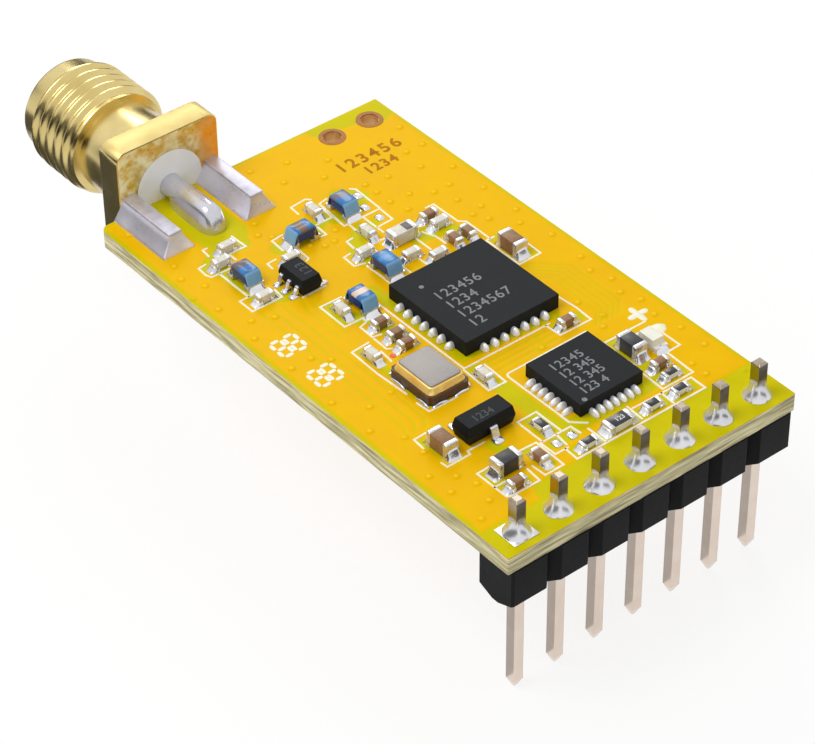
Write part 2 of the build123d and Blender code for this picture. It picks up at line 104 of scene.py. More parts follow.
# Board
BOARD_LOW, BOARD_HIGH = node_box("circuit_board")
BOARD_TOP = round(BOARD_HIGH.z, 3)
BOARD_BOTTOM = round(BOARD_LOW.z, 3)
BOARD_END = round(BOARD_HIGH.y, 3)
PAD = 0.04

# Coax jack: its axis runs along +Y, its flange stands at the board's end
JACK_LOW, JACK_HIGH = node_box("coax_body")
JACK_X = (JACK_LOW.x + JACK_HIGH.x) / 2
JACK_Z = (JACK_LOW.z + JACK_HIGH.z) / 2
JACK_END = JACK_HIGH.y
JACK_STEPS = 160
FLANGE = JACK_HIGH.x - JACK_LOW.x
FLANGE_NEAR = BOARD_END
FLANGE_FAR = FLANGE_NEAR + 1.6
FLANGE_CORNER = 0.6
FLANGE_EDGE = 0.09
LEG_NEAR = JACK_LOW.y
LEG_HALF = 0.4
LEG_CENTRE = 2.6
LEG_HEIGHT = 1.2
LEG_EDGE = 0.05
SLEEVE_RADIUS = 2.06
SLEEVE_DEPTH = 0.4
MOUTH_RADIUS = 2.3
MOUTH_DEPTH = 1.9
NECK_RADIUS = 2.6
RELIEF_RADIUS = 2.55
THREAD_PITCH = 0.706
THREAD_ROOT = 2.9
THREAD_CREST = 3.17
THREAD_START = FLANGE_NEAR + 4.7
THREAD_END = FLANGE_NEAR + 8.4
THREAD_FADE = 0.35
THREAD_ROWS = 112
LEAD_RADIUS = 2.78


# Materials
def srgb(r, g, b):
    """A colour written as display values from 0 to 255, as shaders take it."""
    linear = (v / 255 / 12.92 if v <= 10 else ((v / 255 + 0.055) / 1.055) ** 2.4 for v in (r, g, b))
    return (*linear, 1.0)


class Shader:
    """Short ways to add and link nodes in the node tree of a material or a world."""

    def __init__(self, owner):
        owner.use_nodes = True
        self.owner = owner
        self.nodes = owner.node_tree.nodes
        self.links = owner.node_tree.links

    def join(self, value, socket):
        """Links an output to a socket, or writes a constant on the socket itself."""
        if hasattr(value, "is_output"):
            self.links.new(value, socket)
        else:
            socket.default_value = value

    def set(self, key, value):
        """Gives the main shader one of its values."""
        self.join(value, self.nodes["Principled BSDF"].inputs[key])

    def add(self, kind, inputs=None, **settings):
        """A new node with its settings made and its inputs filled; returns the outputs."""
        node = self.nodes.new("ShaderNode" + kind)
        for key, value in settings.items():
            setattr(node, key, value)
        for key, value in (inputs or {}).items():
            self.join(value, node.inputs[key])
        return node.outputs

    def coordinate(self, letter):
        """One coordinate of the object's own space, in metres."""
        place = self.add("TexCoord")["Object"]
        return self.add("SeparateXYZ", {0: place})[letter]

    def noise(self, scale, detail=3.0, rough=0.55, place=None):
        place = place or self.add("TexCoord")["Object"]
        inputs = {"Vector": place, "Scale": scale, "Detail": detail, "Roughness": rough}
        return self.add("TexNoise", inputs)["Fac"]

    def mix(self, factor, *colours):
        """A colour between two others, each of them an output or display values."""
        first, second = (srgb(*c) if isinstance(c, tuple) else c for c in colours)
        return self.add("Mix", {0: factor, 6: first, 7: second}, data_type="RGBA")[2]

    def ranged(self, value, low, high, to_low=0.0, to_high=1.0):
        inputs = {"Value": value, "From Min": low, "From Max": high, "To Min": to_low, "To Max": to_high}
        return self.add("MapRange", inputs)["Result"]

    def attribute(self, name):
        return self.add("Attribute", attribute_name=name)["Fac"]

    def maths(self, operation, *values):
        return self.add("Math", dict(enumerate(values)), operation=operation)[0]

    def grained(self, noise, roughness, relief, edge=0.0):
        """Gloss and relief that follow a noise, on edges rounded by the given radius."""
        self.set("Roughness", self.ranged(noise, 0.3, 0.7, *roughness))
        inputs = {"Strength": 1.0, "Distance": relief * MM, "Height": noise}
        if edge:
            inputs["Normal"] = self.add("Bevel", {"Radius": edge * MM}, samples=6)["Normal"]
        self.set("Normal", self.add("Bump", inputs)["Normal"])
        return self.owner


def new_shader(name):
    return Shader(bpy.data.materials.new(name))


def surface(name, dark, light, metallic=0.0, roughness=(0.35, 0.5), grain=3000, relief=0.004,
            edge=0.0, coat=0.0, specular=0.5):
    """A finish of two close colours mixed by a noise."""
    shader = new_shader(name)
    noise = shader.noise(grain)
    shader.set("Base Color", shader.mix(shader.ranged(noise, 0.3, 0.7), dark, light))
    shader.set("Metallic", metallic)
    shader.set("Coat Weight", coat)
    shader.set("Coat Roughness", 0.08)
    shader.set("Specular IOR Level", specular)
    return shader.grained(noise, roughness, relief, edge)


# Solder and tin
SOLDER = surface("solder", (206, 206, 212), (232, 233, 238), metallic=0.9,
                 roughness=(0.14, 0.24), grain=800, relief=0.005)
DROP_SOLDER = surface("terminal_solder", (240, 241, 245), (252, 252, 254), metallic=0.3,
                      roughness=(0.2, 0.3), grain=800, relief=0.003)
LEG_SOLDER = surface("leg_solder", (212, 210, 224), (230, 228, 240), metallic=0.65,
                     roughness=(0.24, 0.36), grain=500, relief=0.005)
CONE_SOLDER = surface("cone_solder", (210, 210, 216), (234, 234, 240), metallic=0.8,
                      roughness=(0.2, 0.28), grain=300, relief=0.002)
TAIL_SOLDER = surface("tail_solder", (198, 198, 206), (222, 222, 230), metallic=0.8,
                      roughness=(0.2, 0.3), grain=500, relief=0.003)
TINNED = surface("tinned_legs", (184, 182, 196), (208, 206, 218), metallic=0.65,
                 roughness=(0.36, 0.5), grain=2200, relief=0.006)
END_CAP = surface("tin_end_cap", (188, 188, 190), (222, 222, 224), metallic=0.8,
                  roughness=(0.2, 0.36), grain=2600, relief=0.006)

# Gold, copper and nickel
GOLD = surface("gold_plate", (210, 188, 122), (228, 208, 146), metallic=1.0,
               roughness=(0.2, 0.28), grain=500)
FLANGE_GOLD = surface("flange_gold", (214, 192, 124), (230, 210, 144), metallic=0.9,
                      roughness=(0.42, 0.5), grain=900, relief=0.003)
RING_GOLD = surface("crystal_ring", (250, 200, 96), (255, 222, 134), metallic=0.6,
                    roughness=(0.3, 0.4), grain=900, relief=0.003)
COPPER = surface("copper_plating", (88, 56, 26), (124, 84, 46), metallic=1.0,
                 roughness=(0.32, 0.46), grain=2500, relief=0.02)
BARREL = surface("barrel_plating", (206, 162, 104), (236, 196, 140), metallic=0.6,
                 roughness=(0.3, 0.4), grain=2500, relief=0.006)
LID = surface("crystal_lid", (138, 133, 129), (152, 147, 143), metallic=0.5,
              roughness=(0.4, 0.52), grain=6000, relief=0.005, specular=0.2)

# Plastic, lacquer and glaze
BLACK_PLASTIC = surface("header_plastic", (5, 6, 9), (12, 13, 17), roughness=(0.38, 0.5),
                        edge=0.06, specular=0.14)
MOULD = surface("mould_compound", (16, 20, 23), (25, 29, 32), roughness=(0.5, 0.62), grain=9000,
                relief=0.008, edge=0.03, specular=0.13)
FLUOR = surface("fluoropolymer", (248, 248, 248), (254, 254, 254), roughness=(0.35, 0.45),
                grain=1200, relief=0.003)
WIRE = surface("winding_wire", (16, 42, 88), (34, 72, 128), roughness=(0.25, 0.35))
LAMP_WHITE = surface("lamp_white", (226, 224, 212), (240, 238, 228), roughness=(0.4, 0.5), grain=2500)
LENS = surface("lamp_clear", (226, 226, 206), (240, 240, 224), roughness=(0.06, 0.12), grain=1500,
               coat=1.0)
GLAZE = surface("resistor_glaze", (26, 26, 30), (38, 38, 42), roughness=(0.18, 0.3))

# Ceramics
CERAMIC = {"grain": 3500, "relief": 0.006}
CREAM = surface("cream_ceramic", (204, 200, 186), (226, 223, 212), specular=0.3, **CERAMIC)
BROWN = surface("brown_ceramic", (128, 92, 62), (152, 114, 80), specular=0.3, **CERAMIC)
FERRITE = surface("dark_ferrite", (48, 48, 51), (66, 65, 67), roughness=(0.3, 0.45), specular=0.3,
                  **CERAMIC)
BASE_DARK = surface("crystal_base", (64, 40, 30), (84, 56, 42), roughness=(0.4, 0.55), **CERAMIC)
ALUMINA = surface("resistor_alumina", (222, 220, 212), (238, 236, 230), roughness=(0.45, 0.55),
                  relief=0.006)

# Print and marks
INK = surface("silk_ink", (238, 234, 206), (250, 247, 226), roughness=(0.45, 0.6), grain=5000,
              relief=0.006, specular=0.3)
RED_INK = surface("red_ink", (206, 60, 26), (226, 84, 40), roughness=(0.3, 0.45), grain=2500,
                  relief=0.006)
ETCHED_MARK = surface("etched_mark", (166, 106, 8), (188, 126, 12), roughness=(0.45, 0.55),
                      grain=2500, specular=0.03)
LASERED = {"roughness": (0.5, 0.7), "grain": 9000, "specular": 0.2}
LASER_MARK = surface("laser_mark", (108, 112, 114), (146, 150, 152), **LASERED)
FAINT_MARK = surface("faint_laser_mark", (60, 62, 64), (84, 86, 86), **LASERED)
STAMPED = {"roughness": (0.4, 0.5), "grain": 5000}
FILTER_MARK = surface("filter_mark_ink", (84, 76, 72), (104, 94, 88), **STAMPED)
RESISTOR_MARK = surface("resistor_mark", (196, 196, 196), (226, 226, 224), relief=0.003, **STAMPED)


def mask_finish():
    """Solder mask: amber over copper, yellow-green over bare laminate, painted shade and highlight on the
    vias.
    """
    shader = new_shader("solder_mask")
    noise = shader.noise(700, 4.0)
    amber = shader.mix(noise, (232, 177, 2), (242, 193, 9))
    green = shader.mix(noise, (196, 184, 3), (214, 203, 10))
    via = shader.attribute("via")
    # Painted shade darkens each via's rim and a painted highlight lightens its crown.
    rim = shader.ranged(via, 0.0, 0.35, 0.0, 0.3)
    crown = shader.ranged(via, 0.35, 0.8, 0.0, 0.7)
    amber_painted_rim_shade = shader.mix(rim, amber, (206, 146, 0))
    over_copper = shader.mix(crown, amber_painted_rim_shade, (255, 210, 34))
    share = shader.ranged(shader.attribute("copper"), -0.12, 0.04)
    shader.set("Base Color", shader.mix(share, green, over_copper))
    shader.set("Specular IOR Level", 0.022)
    return shader.grained(noise, (0.3, 0.42), 0.006)


def laminate_finish():
    """The board below the mask: layers of glass cloth round its edges, amber on its faces."""
    shader = new_shader("laminate")
    place = shader.add("TexCoord")
    squeezed = shader.add("Mapping", {"Vector": place["Object"], "Scale": (0.18, 0.18, 3.0)})["Vector"]
    layers = shader.noise(2600, 4.0, 0.5, squeezed)
    cloth = shader.mix(shader.ranged(layers, 0.35, 0.65), (150, 140, 104), (228, 220, 176))
    amber = shader.mix(layers, (236, 180, 3), (246, 197, 12))
    upward = shader.maths("ABSOLUTE", shader.add("SeparateXYZ", {0: place["Normal"]})["Z"])
    shader.set("Base Color", shader.mix(shader.ranged(upward, 0.45, 0.55), cloth, amber))
    shader.set("Specular IOR Level", 0.1)
    return shader.grained(layers, (0.45, 0.62), 0.006)


def fluxed_finish():
    """Gold that solder and flux have run over: bright grains, amber towards the right corner."""
    shader = new_shader("fluxed_gold")
    noise = shader.noise(1900, 4.0)
    bright = shader.mix(shader.ranged(noise, 0.4, 0.62), (226, 184, 78), (255, 244, 190))
    start, end = (JACK_X + 1.6) * MM, (JACK_X + 2.3) * MM
    right = shader.ranged(shader.coordinate("X"), start, end, 0.0, 0.8)
    shader.set("Base Color", shader.mix(right, bright, (236, 158, 44)))
    shader.set("Metallic", 0.45)
    return shader.grained(noise, (0.25, 0.45), 0.045)


def pin_finish():
    """Pale gold flash, with painted shade that darkens the pins above the board."""
    shader = new_shader("pin_plate")
    noise = shader.noise(900)
    pale = shader.mix(noise, (212, 194, 180), (236, 222, 210))
    # Painted shade: a darker gold towards and above the board's top.
    painted_shade_gold = shader.mix(noise, (142, 130, 114), (184, 172, 156))
    above = shader.ranged(shader.coordinate("Z"), BOARD_TOP * MM, (BOARD_TOP + 1.0) * MM)
    shader.set("Base Color", shader.mix(above, pale, painted_shade_gold))
    shader.set("Metallic", 1.0)
    return shader.grained(noise, (0.16, 0.28), 0.004, 0.05)


def cover_finish(name, colour, start, end):
    """Blue resin with one painted stripe, a painted highlight at its first end and painted shade down the
    sides.
    """
    shader = new_shader(name)
    noise = shader.noise(1600)
    blue = shader.mix(noise, (26, 90, 150), (58, 132, 196))
    along = shader.attribute("along")
    after = shader.ranged(along, start - 0.015, start + 0.015)
    before = shader.ranged(along, end - 0.015, end + 0.015, 1.0, 0.0)
    striped = shader.mix(shader.maths("MULTIPLY", after, before), blue, colour)
    # Painted highlight: the first end is mixed towards pale blue.
    pale = shader.mix(shader.ranged(along, 0.14, 0.2, 0.7, 0.0), striped, (140, 186, 216))
    # Painted shade: deep blue where the skin lies below the cover's crown, down the sides.
    side = shader.ranged(shader.attribute("depth"), 0.1, 0.16)
    shader.set("Base Color", shader.mix(side, pale, (14, 54, 116)))
    shader.set("Specular IOR Level", 0.25)
    shader.set("Coat Weight", 0.15)
    return shader.grained(noise, (0.14, 0.24), 0.004)


# Meshes
def piece(name, bm, materials, replaces=(), angle=32):
    """Turns a bmesh in millimetres into a piece that rides on the part."""
    bmesh.ops.remove_doubles(bm, verts=bm.verts, dist=1e-5)
    bmesh.ops.scale(bm, vec=(MM, MM, MM), verts=bm.verts)
    limit = math.radians(angle)
    for face in bm.faces:
        face.smooth = True
    for edge in bm.edges:
        edge.smooth = len(edge.link_faces) == 2 and edge.calc_face_angle(0) < limit
    mesh = bpy.data.meshes.new(name)
    bm.to_mesh(mesh)
    bm.free()
    for material in materials:
        mesh.materials.append(material)
    obj = bpy.data.objects.new(name, mesh)
    bpy.context.scene.collection.objects.link(obj)
    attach(obj, "root")
    if replaces:
        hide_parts(*replaces)


def add_box(bm, low, high, bevel, segments=2, material=0):
    """A box with rounded edges."""
    centre = (Vector(low) + Vector(high)) / 2
    size = Vector(high) - Vector(low)
    matrix = Matrix.Translation(centre) @ Matrix.Diagonal((*size, 1))
    made = bmesh.ops.create_cube(bm, size=1, matrix=matrix)
    for face in {face for vertex in made["verts"] for face in vertex.link_faces}:
        face.material_index = material
    edges = list({edge for vertex in made["verts"] for edge in vertex.link_edges})
    rounded = bmesh.ops.bevel(bm, geom=edges, offset=bevel, segments=segments, profile=0.5,
                              affect="EDGES", clamp_overlap=True)
    for face in rounded["faces"]:
        face.material_index = material


def add_loops(bm, loops, closed=True, caps=True, material=0):
    """Joins rows of points into a skin, each row with as many points as the next."""
    rows = [[bm.verts.new(point) for point in loop] for loop in loops]
    count = len(rows[0])
    faces = []
    for a, b in zip(rows, rows[1:]):
        for i in range(count if closed else count - 1):
            j = (i + 1) % count
            faces.append(bm.faces.new((a[i], a[j], b[j], b[i])))
    if caps:
        faces.append(bm.faces.new(list(reversed(rows[0]))))
        faces.append(bm.faces.new(rows[-1]))
    for face in faces:
        face.material_index = material
    return rows


def lathe(bm, profile, steps, x, y):
    """Turns (radius, height) points about an upright line."""
    circle = around(steps)
    rings = [[Vector((x + radius * c.x, y + radius * c.y, height)) for c in circle]
             for radius, height in profile]
    add_loops(bm, rings, caps=False)


# Coax jack: its finishes after the first, which is plain gold
TINNED_SLOT = 1
FLUXED_SLOT = 2
TOP_SLOT = 3


def rounded_square(side, corner):
    """Points round a rounded square, taken at equal angles."""
    points = []
    half = side / 2
    inner = half - corner
    for ray in around(JACK_STEPS):
        point = ray * (half / max(abs(ray.x), abs(ray.y)))
        if abs(point.x) > inner and abs(point.y) > inner:
            centre = Vector((math.copysign(inner, point.x), math.copysign(inner, point.y)))
            along = ray.dot(centre)
            beyond = along * along - centre.length_squared + corner * corner
            point = ray * (along + math.sqrt(max(0, beyond)))
        points.append(point)
    return points


def jack_circles(*profile):
    """Sections of the jack that are circles, from each one's radius and place along the axis."""
    rays = around(JACK_STEPS)
    return [([ray * radius for ray in rays], y) for radius, y in profile]


def jack_rings(sections):
    """Rings round the jack's axis, each from flat points and a place along the axis."""
    return [[Vector((JACK_X + p.x, y, JACK_Z + p.y)) for p in reversed(points)] for points, y in sections]


def add_flange(bm):
    """The square flange, its rims rounded, with the sleeve's bore in the face at the board."""
    outer = rounded_square(FLANGE, FLANGE_CORNER)
    inset = rounded_square(FLANGE - 2 * FLANGE_EDGE, FLANGE_CORNER - FLANGE_EDGE)
    between = [a * 0.3 + b * 0.7 for a, b in zip(inset, outer)]
    face = jack_circles(
        (SLEEVE_RADIUS, FLANGE_NEAR + SLEEVE_DEPTH),
        (SLEEVE_RADIUS, FLANGE_NEAR + 0.02),
        (SLEEVE_RADIUS + 0.03, FLANGE_NEAR),
    )
    face.append((inset, FLANGE_NEAR))
    rims = [
        (inset, FLANGE_NEAR),
        (between, FLANGE_NEAR + FLANGE_EDGE * 0.3),
        (outer, FLANGE_NEAR + FLANGE_EDGE),
        (outer, FLANGE_FAR - FLANGE_EDGE),
        (between, FLANGE_FAR - FLANGE_EDGE * 0.3),
        (inset, FLANGE_FAR),
    ]
    rims += jack_circles((NECK_RADIUS + 0.1, FLANGE_FAR), (NECK_RADIUS, FLANGE_FAR + 0.1))
    add_loops(bm, jack_rings(face), caps=False, material=FLUXED_SLOT)
    add_loops(bm, jack_rings(rims), caps=False)
    bm.normal_update()
    for skin in bm.faces:
        if skin.normal.z > 0.6:
            skin.material_index = TOP_SLOT


def thread_radius(y, turned):
    """Radius of the thread at a place along the axis and a share of a turn round it."""
    phase = ((y - THREAD_START) / THREAD_PITCH - turned) % 1.0
    wave = min(1.0, max(0.0, 1.16 - 2.3 * abs(phase - 0.5)))
    wave = wave * wave * (3 - 2 * wave)
    start = min(1.0, max(0.0, (y - THREAD_START) / THREAD_FADE))
    stop = min(1.0, max(0.0, (THREAD_END + 0.1 - y) / THREAD_FADE))
    return THREAD_ROOT + (THREAD_CREST - THREAD_ROOT) * wave * min(start, stop)


def add_barrel(bm):
    """Neck, helical thread, lead ring and the bored mouth."""
    sections = jack_circles(
        (NECK_RADIUS, FLANGE_FAR),
        (NECK_RADIUS, THREAD_START - 0.5),
        (RELIEF_RADIUS, THREAD_START - 0.35),
        (RELIEF_RADIUS, THREAD_START - 0.12),
    )
    first, last = THREAD_START - 0.05, THREAD_END + 0.1
    for row in range(THREAD_ROWS + 1):
        y = first + (last - first) * row / THREAD_ROWS
        rays = enumerate(around(JACK_STEPS))
        sections.append(([ray * thread_radius(y, i / JACK_STEPS) for i, ray in rays], y))
    sections += jack_circles(
        (LEAD_RADIUS + 0.02, THREAD_END + 0.14),
        (LEAD_RADIUS, THREAD_END + 0.2),
        (LEAD_RADIUS, JACK_END - 0.14),
        (LEAD_RADIUS - 0.04, JACK_END - 0.04),
        (LEAD_RADIUS - 0.12, JACK_END),
        (MOUTH_RADIUS + 0.04, JACK_END),
        (MOUTH_RADIUS, JACK_END - 0.05),
        (MOUTH_RADIUS, JACK_END - MOUTH_DEPTH),
        (SLEEVE_RADIUS, JACK_END - MOUTH_DEPTH),
    )
    add_loops(bm, jack_rings(sections), caps=False)


def add_legs(bm):
    """Two legs above the board and two below."""
    levels = ((BOARD_TOP + PAD, BOARD_TOP + LEG_HEIGHT), (JACK_Z - FLANGE / 2, BOARD_BOTTOM - PAD))
    for x in (JACK_X - LEG_CENTRE, JACK_X + LEG_CENTRE):
        for bottom, top in levels:
            low = (x - LEG_HALF, LEG_NEAR, bottom)
            high = (x + LEG_HALF, FLANGE_NEAR + 0.05, top)
            add_box(bm, low, high, LEG_EDGE, 3, TINNED_SLOT)


def build_coax():
    bm = bmesh.new()
    add_flange(bm)
    add_barrel(bm)
    add_legs(bm)
    materials = [GOLD, TINNED, fluxed_finish(), FLANGE_GOLD]
    piece("coax_body_detail", bm, materials, ["coax_body"], angle=40)


build_coax()

# Board face: a thin skin over the laminate, raised where copper lies below the mask. The
# strokes are where the copper is left out: points of a line and half its width.
BARE = [
    ([(-9.3, -0.2), (9.3, -0.2)], 1.25),
    ([(-4.6, 1.3), (9.2, 1.3)], 0.7),
    ([(4.9, 31.0), (7.4, 30.7), (9.3, 30.7)], 0.75),
    ([(7.7, 30.0), (8.6, 30.3)], 0.85),
    ([(-9.1, -1.2), (-9.1, 31.3)], 0.28),
    ([(9.1, -1.2), (9.1, 31.3)], 0.2),
    ([(-9.1, 31.25), (9.1, 31.25)], 0.2),
    ([(JACK_X, 32.0), (JACK_X, 26.9)], 1.45),
    ([(JACK_X, 26.6), (-4.3, 25.6), (-5.6, 25.6), (-6.6, 24.9)], 0.6),
    ([(-6.3, 24.4), (-6.25, 21.3), (-5.2, 20.7)], 0.55),
    ([(-3.1, 23.9), (-2.2, 23.9), (-0.8, 23.9), (0.2, 24.6), (1.0, 23.9)], 0.5),
    ([(2.1, 24.2), (2.9, 24.8), (2.1, 25.6)], 0.55),
    ([(1.3, 22.6), (0.3, 21.8), (-0.3, 20.8), (0.2, 19.2)], 0.5),
    ([(2.5, 22.7), (1.6, 22.4)], 0.3),
    ([(3.0, 20.1), (4.6, 20.0), (4.8, 18.9)], 0.6),
    ([(-3.9, 18.4), (-3.9, 17.2), (-2.9, 16.6), (-2.9, 13.8)], 0.55),
    ([(-5.0, 14.7), (-4.9, 13.4), (-5.0, 9.6), (-3.0, 9.4)], 0.3),
    ([(-1.5, 18.2), (-1.5, 11.2), (4.2, 10.9)], 0.35),
    ([(-1.6, 10.1), (-1.6, 8.7)], 0.45),
    ([(3.7, 10.0), (5.0, 10.0)], 0.4),
    ([(6.0, 17.4), (5.9, 15.5), (6.6, 15.5)], 0.35),
    ([(-1.4, 8.3), (-1.35, 4.6), (-0.5, 3.9), (4.2, 3.9)], 0.55),
    ([(-6.9, 7.6), (-6.8, 5.9)], 0.3),
    ([(-4.6, 5.3), (-4.3, 4.6)], 0.35),
    ([(-6.0, 3.8), (-5.9, 2.6), (-5.0, 2.5)], 0.4),
    ([(-3.5, 3.8), (-3.4, 2.6)], 0.4),
    ([(-2.0, 5.4), (-2.0, 4.4)], 0.45),
    ([(-2.3, 3.5), (-1.1, 3.5)], 0.4),
    ([(-1.7, 2.5), (5.7, 2.5)], 0.42),
    ([(5.0, 7.2), (5.0, 3.7), (6.0, 3.7)], 0.42),
    ([(6.3, 7.0), (6.4, 5.4)], 0.4),
]
# Gaps between tracks, in bundles: how many, the first line's points, and the step from each
# point to the same point of the next line
BUNDLES = [
    (5, [(5.6, 15.2), (7.5, 13.3), (7.5, 9.7), (6.7, 8.9)],
     [(0, -0.4), (-0.37, -0.03), (-0.37, 0), (-0.37, 0)]),
    (3, [(-5.75, 20.4), (-5.75, 9.0), (-6.2, 8.3)], [(-0.6, 0)] * 3),
    (2, [(1.7, 10.3), (1.7, 9.0)], [(0.55, 0)] * 2),
    (3, [(-0.8, 10.15), (3.1, 10.15)], [(0, -0.4)] * 2),
    (2, [(-4.1, 20.0), (-4.5, 19.0), (-4.6, 16.2)], [(-0.5, 0)] * 3),
]
GAP_HALF = 0.07
# Vias: holes through the copper, closed by the mask, which stands up over them
VIAS = [
    (-8.05, 26.15), (-6.65, 27.1), (-2.75, 26.4), (-3.2, 25.5), (-8.4, 25.05), (-7.8, 23.85),
    (-8.9, 23.4), (-2.75, 24.9), (-1.1, 22.6), (-1.7, 23.1), (-8.4, 21.9), (-7.7, 20.1),
    (-6.6, 19.6), (-8.4, 18.9), (-0.5, 22.6), (2.5, 27.3), (3.75, 25.4), (5.1, 25.2),
    (8.35, 26.3), (7.25, 26.3), (7.0, 24.8), (3.8, 24.5), (3.8, 23.4), (5.0, 23.3),
    (8.3, 23.7), (6.1, 22.6), (7.15, 22.6), (4.1, 22.3), (6.6, 21.3), (8.35, 21.25),
    (7.2, 20.1), (6.4, 19.8), (6.8, 19.0), (8.4, 18.7), (0.1, 23.3), (-8.4, 15.9),
    (-7.2, 15.9), (-6.5, 15.2), (-8.5, 12.6), (-7.3, 11.2), (-8.4, 9.8), (-5.8, 11.4),
    (7.8, 17.7), (8.4, 15.9), (8.3, 13.55), (7.9, 12.4), (8.3, 11.2), (7.9, 10.1),
    (8.3, 9.0), (6.0, 9.3), (5.7, 10.85), (2.0, 9.3), (-7.4, 7.0), (-8.3, 5.5),
    (-7.3, 4.7), (-8.2, 4.0), (-6.9, 3.7), (-7.2, 2.45), (-8.3, 1.7), (-7.4, 8.4),
    (8.0, 7.7), (8.3, 6.1), (8.3, 4.4), (6.8, 3.7), (6.8, 2.7), (8.4, 1.7), (5.4, 8.6),
    (-8.3, 29.8), (-0.2, 30.2), (1.8, 29.6), (3.6, 28.4), (8.4, 28.3), (0.6, 28.3),
]
VIA_RISE = 0.09
VIA_RADIUS = 0.22
MASK_STEP = 0.1
MASK_MARGIN = 0.02
MASK_LIFT = 0.004
MASK_RISE = 0.022
COPPER_SLOPE = 0.12
HOLE_RIM = 0.62
CORNER_RADIUS = 0.45
CORNER_INSET = 0.5
OPEN_HOLES = [((low.x + high.x) / 2, (low.y + high.y) / 2) for low, high in solids("hole_eyelets")[::2]]


def line_distance(px, py, a, b):
    """Distance of each point of a grid from the line between two others."""
    dx, dy = b[0] - a[0], b[1] - a[1]
    t = np.clip(((px - a[0]) * dx + (py - a[1]) * dy) / (dx * dx + dy * dy), 0, 1)
    return np.hypot(px - a[0] - t * dx, py - a[1] - t * dy)


def copper_inset(px, py):
    """How far each point of a grid lies inside the copper, negative where there is none."""
    strokes = list(BARE)
    for count, line, steps in BUNDLES:
        for i in range(count):
            gap = [(x + i * dx, y + i * dy) for (x, y), (dx, dy) in zip(line, steps)]
            strokes.append((gap, GAP_HALF))
    inset = np.full(px.shape, 9.0)
    for line, half in strokes:
        for a, b in zip(line, line[1:]):
            inset = np.minimum(inset, line_distance(px, py, a, b) - half)
    return inset


def mask_open(x, y):
    """True over the open holes and outside the board's routed corner."""
    if any(math.hypot(x - hole_x, y - hole_y) < HOLE_RIM for hole_x, hole_y in OPEN_HOLES):
        return True
    out_x = BOARD_LOW.x + CORNER_INSET - x
    out_y = y - (BOARD_HIGH.y - CORNER_INSET)
    return out_x > 0 and out_y > 0 and math.hypot(out_x, out_y) > CORNER_RADIUS


def build_mask():
    """The mask as a fine grid that keeps, at each point, its place in the copper and on a via."""
    columns = int((BOARD_HIGH.x - BOARD_LOW.x) / MASK_STEP) + 1
    rows = int((BOARD_HIGH.y - BOARD_LOW.y) / MASK_STEP) + 1
    xs = np.linspace(BOARD_LOW.x + MASK_MARGIN, BOARD_HIGH.x - MASK_MARGIN, columns)
    ys = np.linspace(BOARD_LOW.y + MASK_MARGIN, BOARD_HIGH.y - MASK_MARGIN, rows)
    px, py = np.meshgrid(xs, ys)
    copper = copper_inset(px, py)
    levels = BOARD_TOP + MASK_LIFT + MASK_RISE * np.clip(copper / COPPER_SLOPE + 0.5, 0, 1)
    domes = np.zeros(px.shape)
    for x, y in VIAS:
        dome = np.clip(1 - (np.hypot(px - x, py - y) / VIA_RADIUS) ** 2, 0, 1)
        levels += VIA_RISE * dome ** 2
        domes = np.maximum(domes, dome)
    bm = bmesh.new()
    copper_layer = bm.verts.layers.float.new("copper")
    via_layer = bm.verts.layers.float.new("via")
    grid = []
    for j in range(rows):
        grid.append([bm.verts.new((px[j, i], py[j, i], levels[j, i])) for i in range(columns)])
        for i, vertex in enumerate(grid[-1]):
            vertex[copper_layer] = copper[j, i]
            vertex[via_layer] = domes[j, i]
    for j in range(rows - 1):
        for i in range(columns - 1):
            if not mask_open(px[j, i] + MASK_STEP / 2, py[j, i] + MASK_STEP / 2):
                bm.faces.new((grid[j][i], grid[j][i + 1], grid[j + 1][i + 1], grid[j + 1][i]))
    loose = [vertex for vertex in bm.verts if not vertex.link_faces]
    bmesh.ops.delete(bm, geom=loose, context="VERTS")
    piece("board_mask", bm, [mask_finish()], angle=80)


def build_hole_barrels():
    """The plated walls of the open holes, between the rings on the two faces."""
    bm = bmesh.new()
    inner, outer = 0.485, 0.499
    wall = [(inner, BOARD_BOTTOM), (inner, BOARD_TOP), (outer, BOARD_TOP), (outer, BOARD_BOTTOM),
            (inner, BOARD_BOTTOM)]
    for x, y in OPEN_HOLES:
        lathe(bm, wall, 32, x, y)
    piece("hole_barrels", bm, [BARREL])


build_mask()
build_hole_barrels()

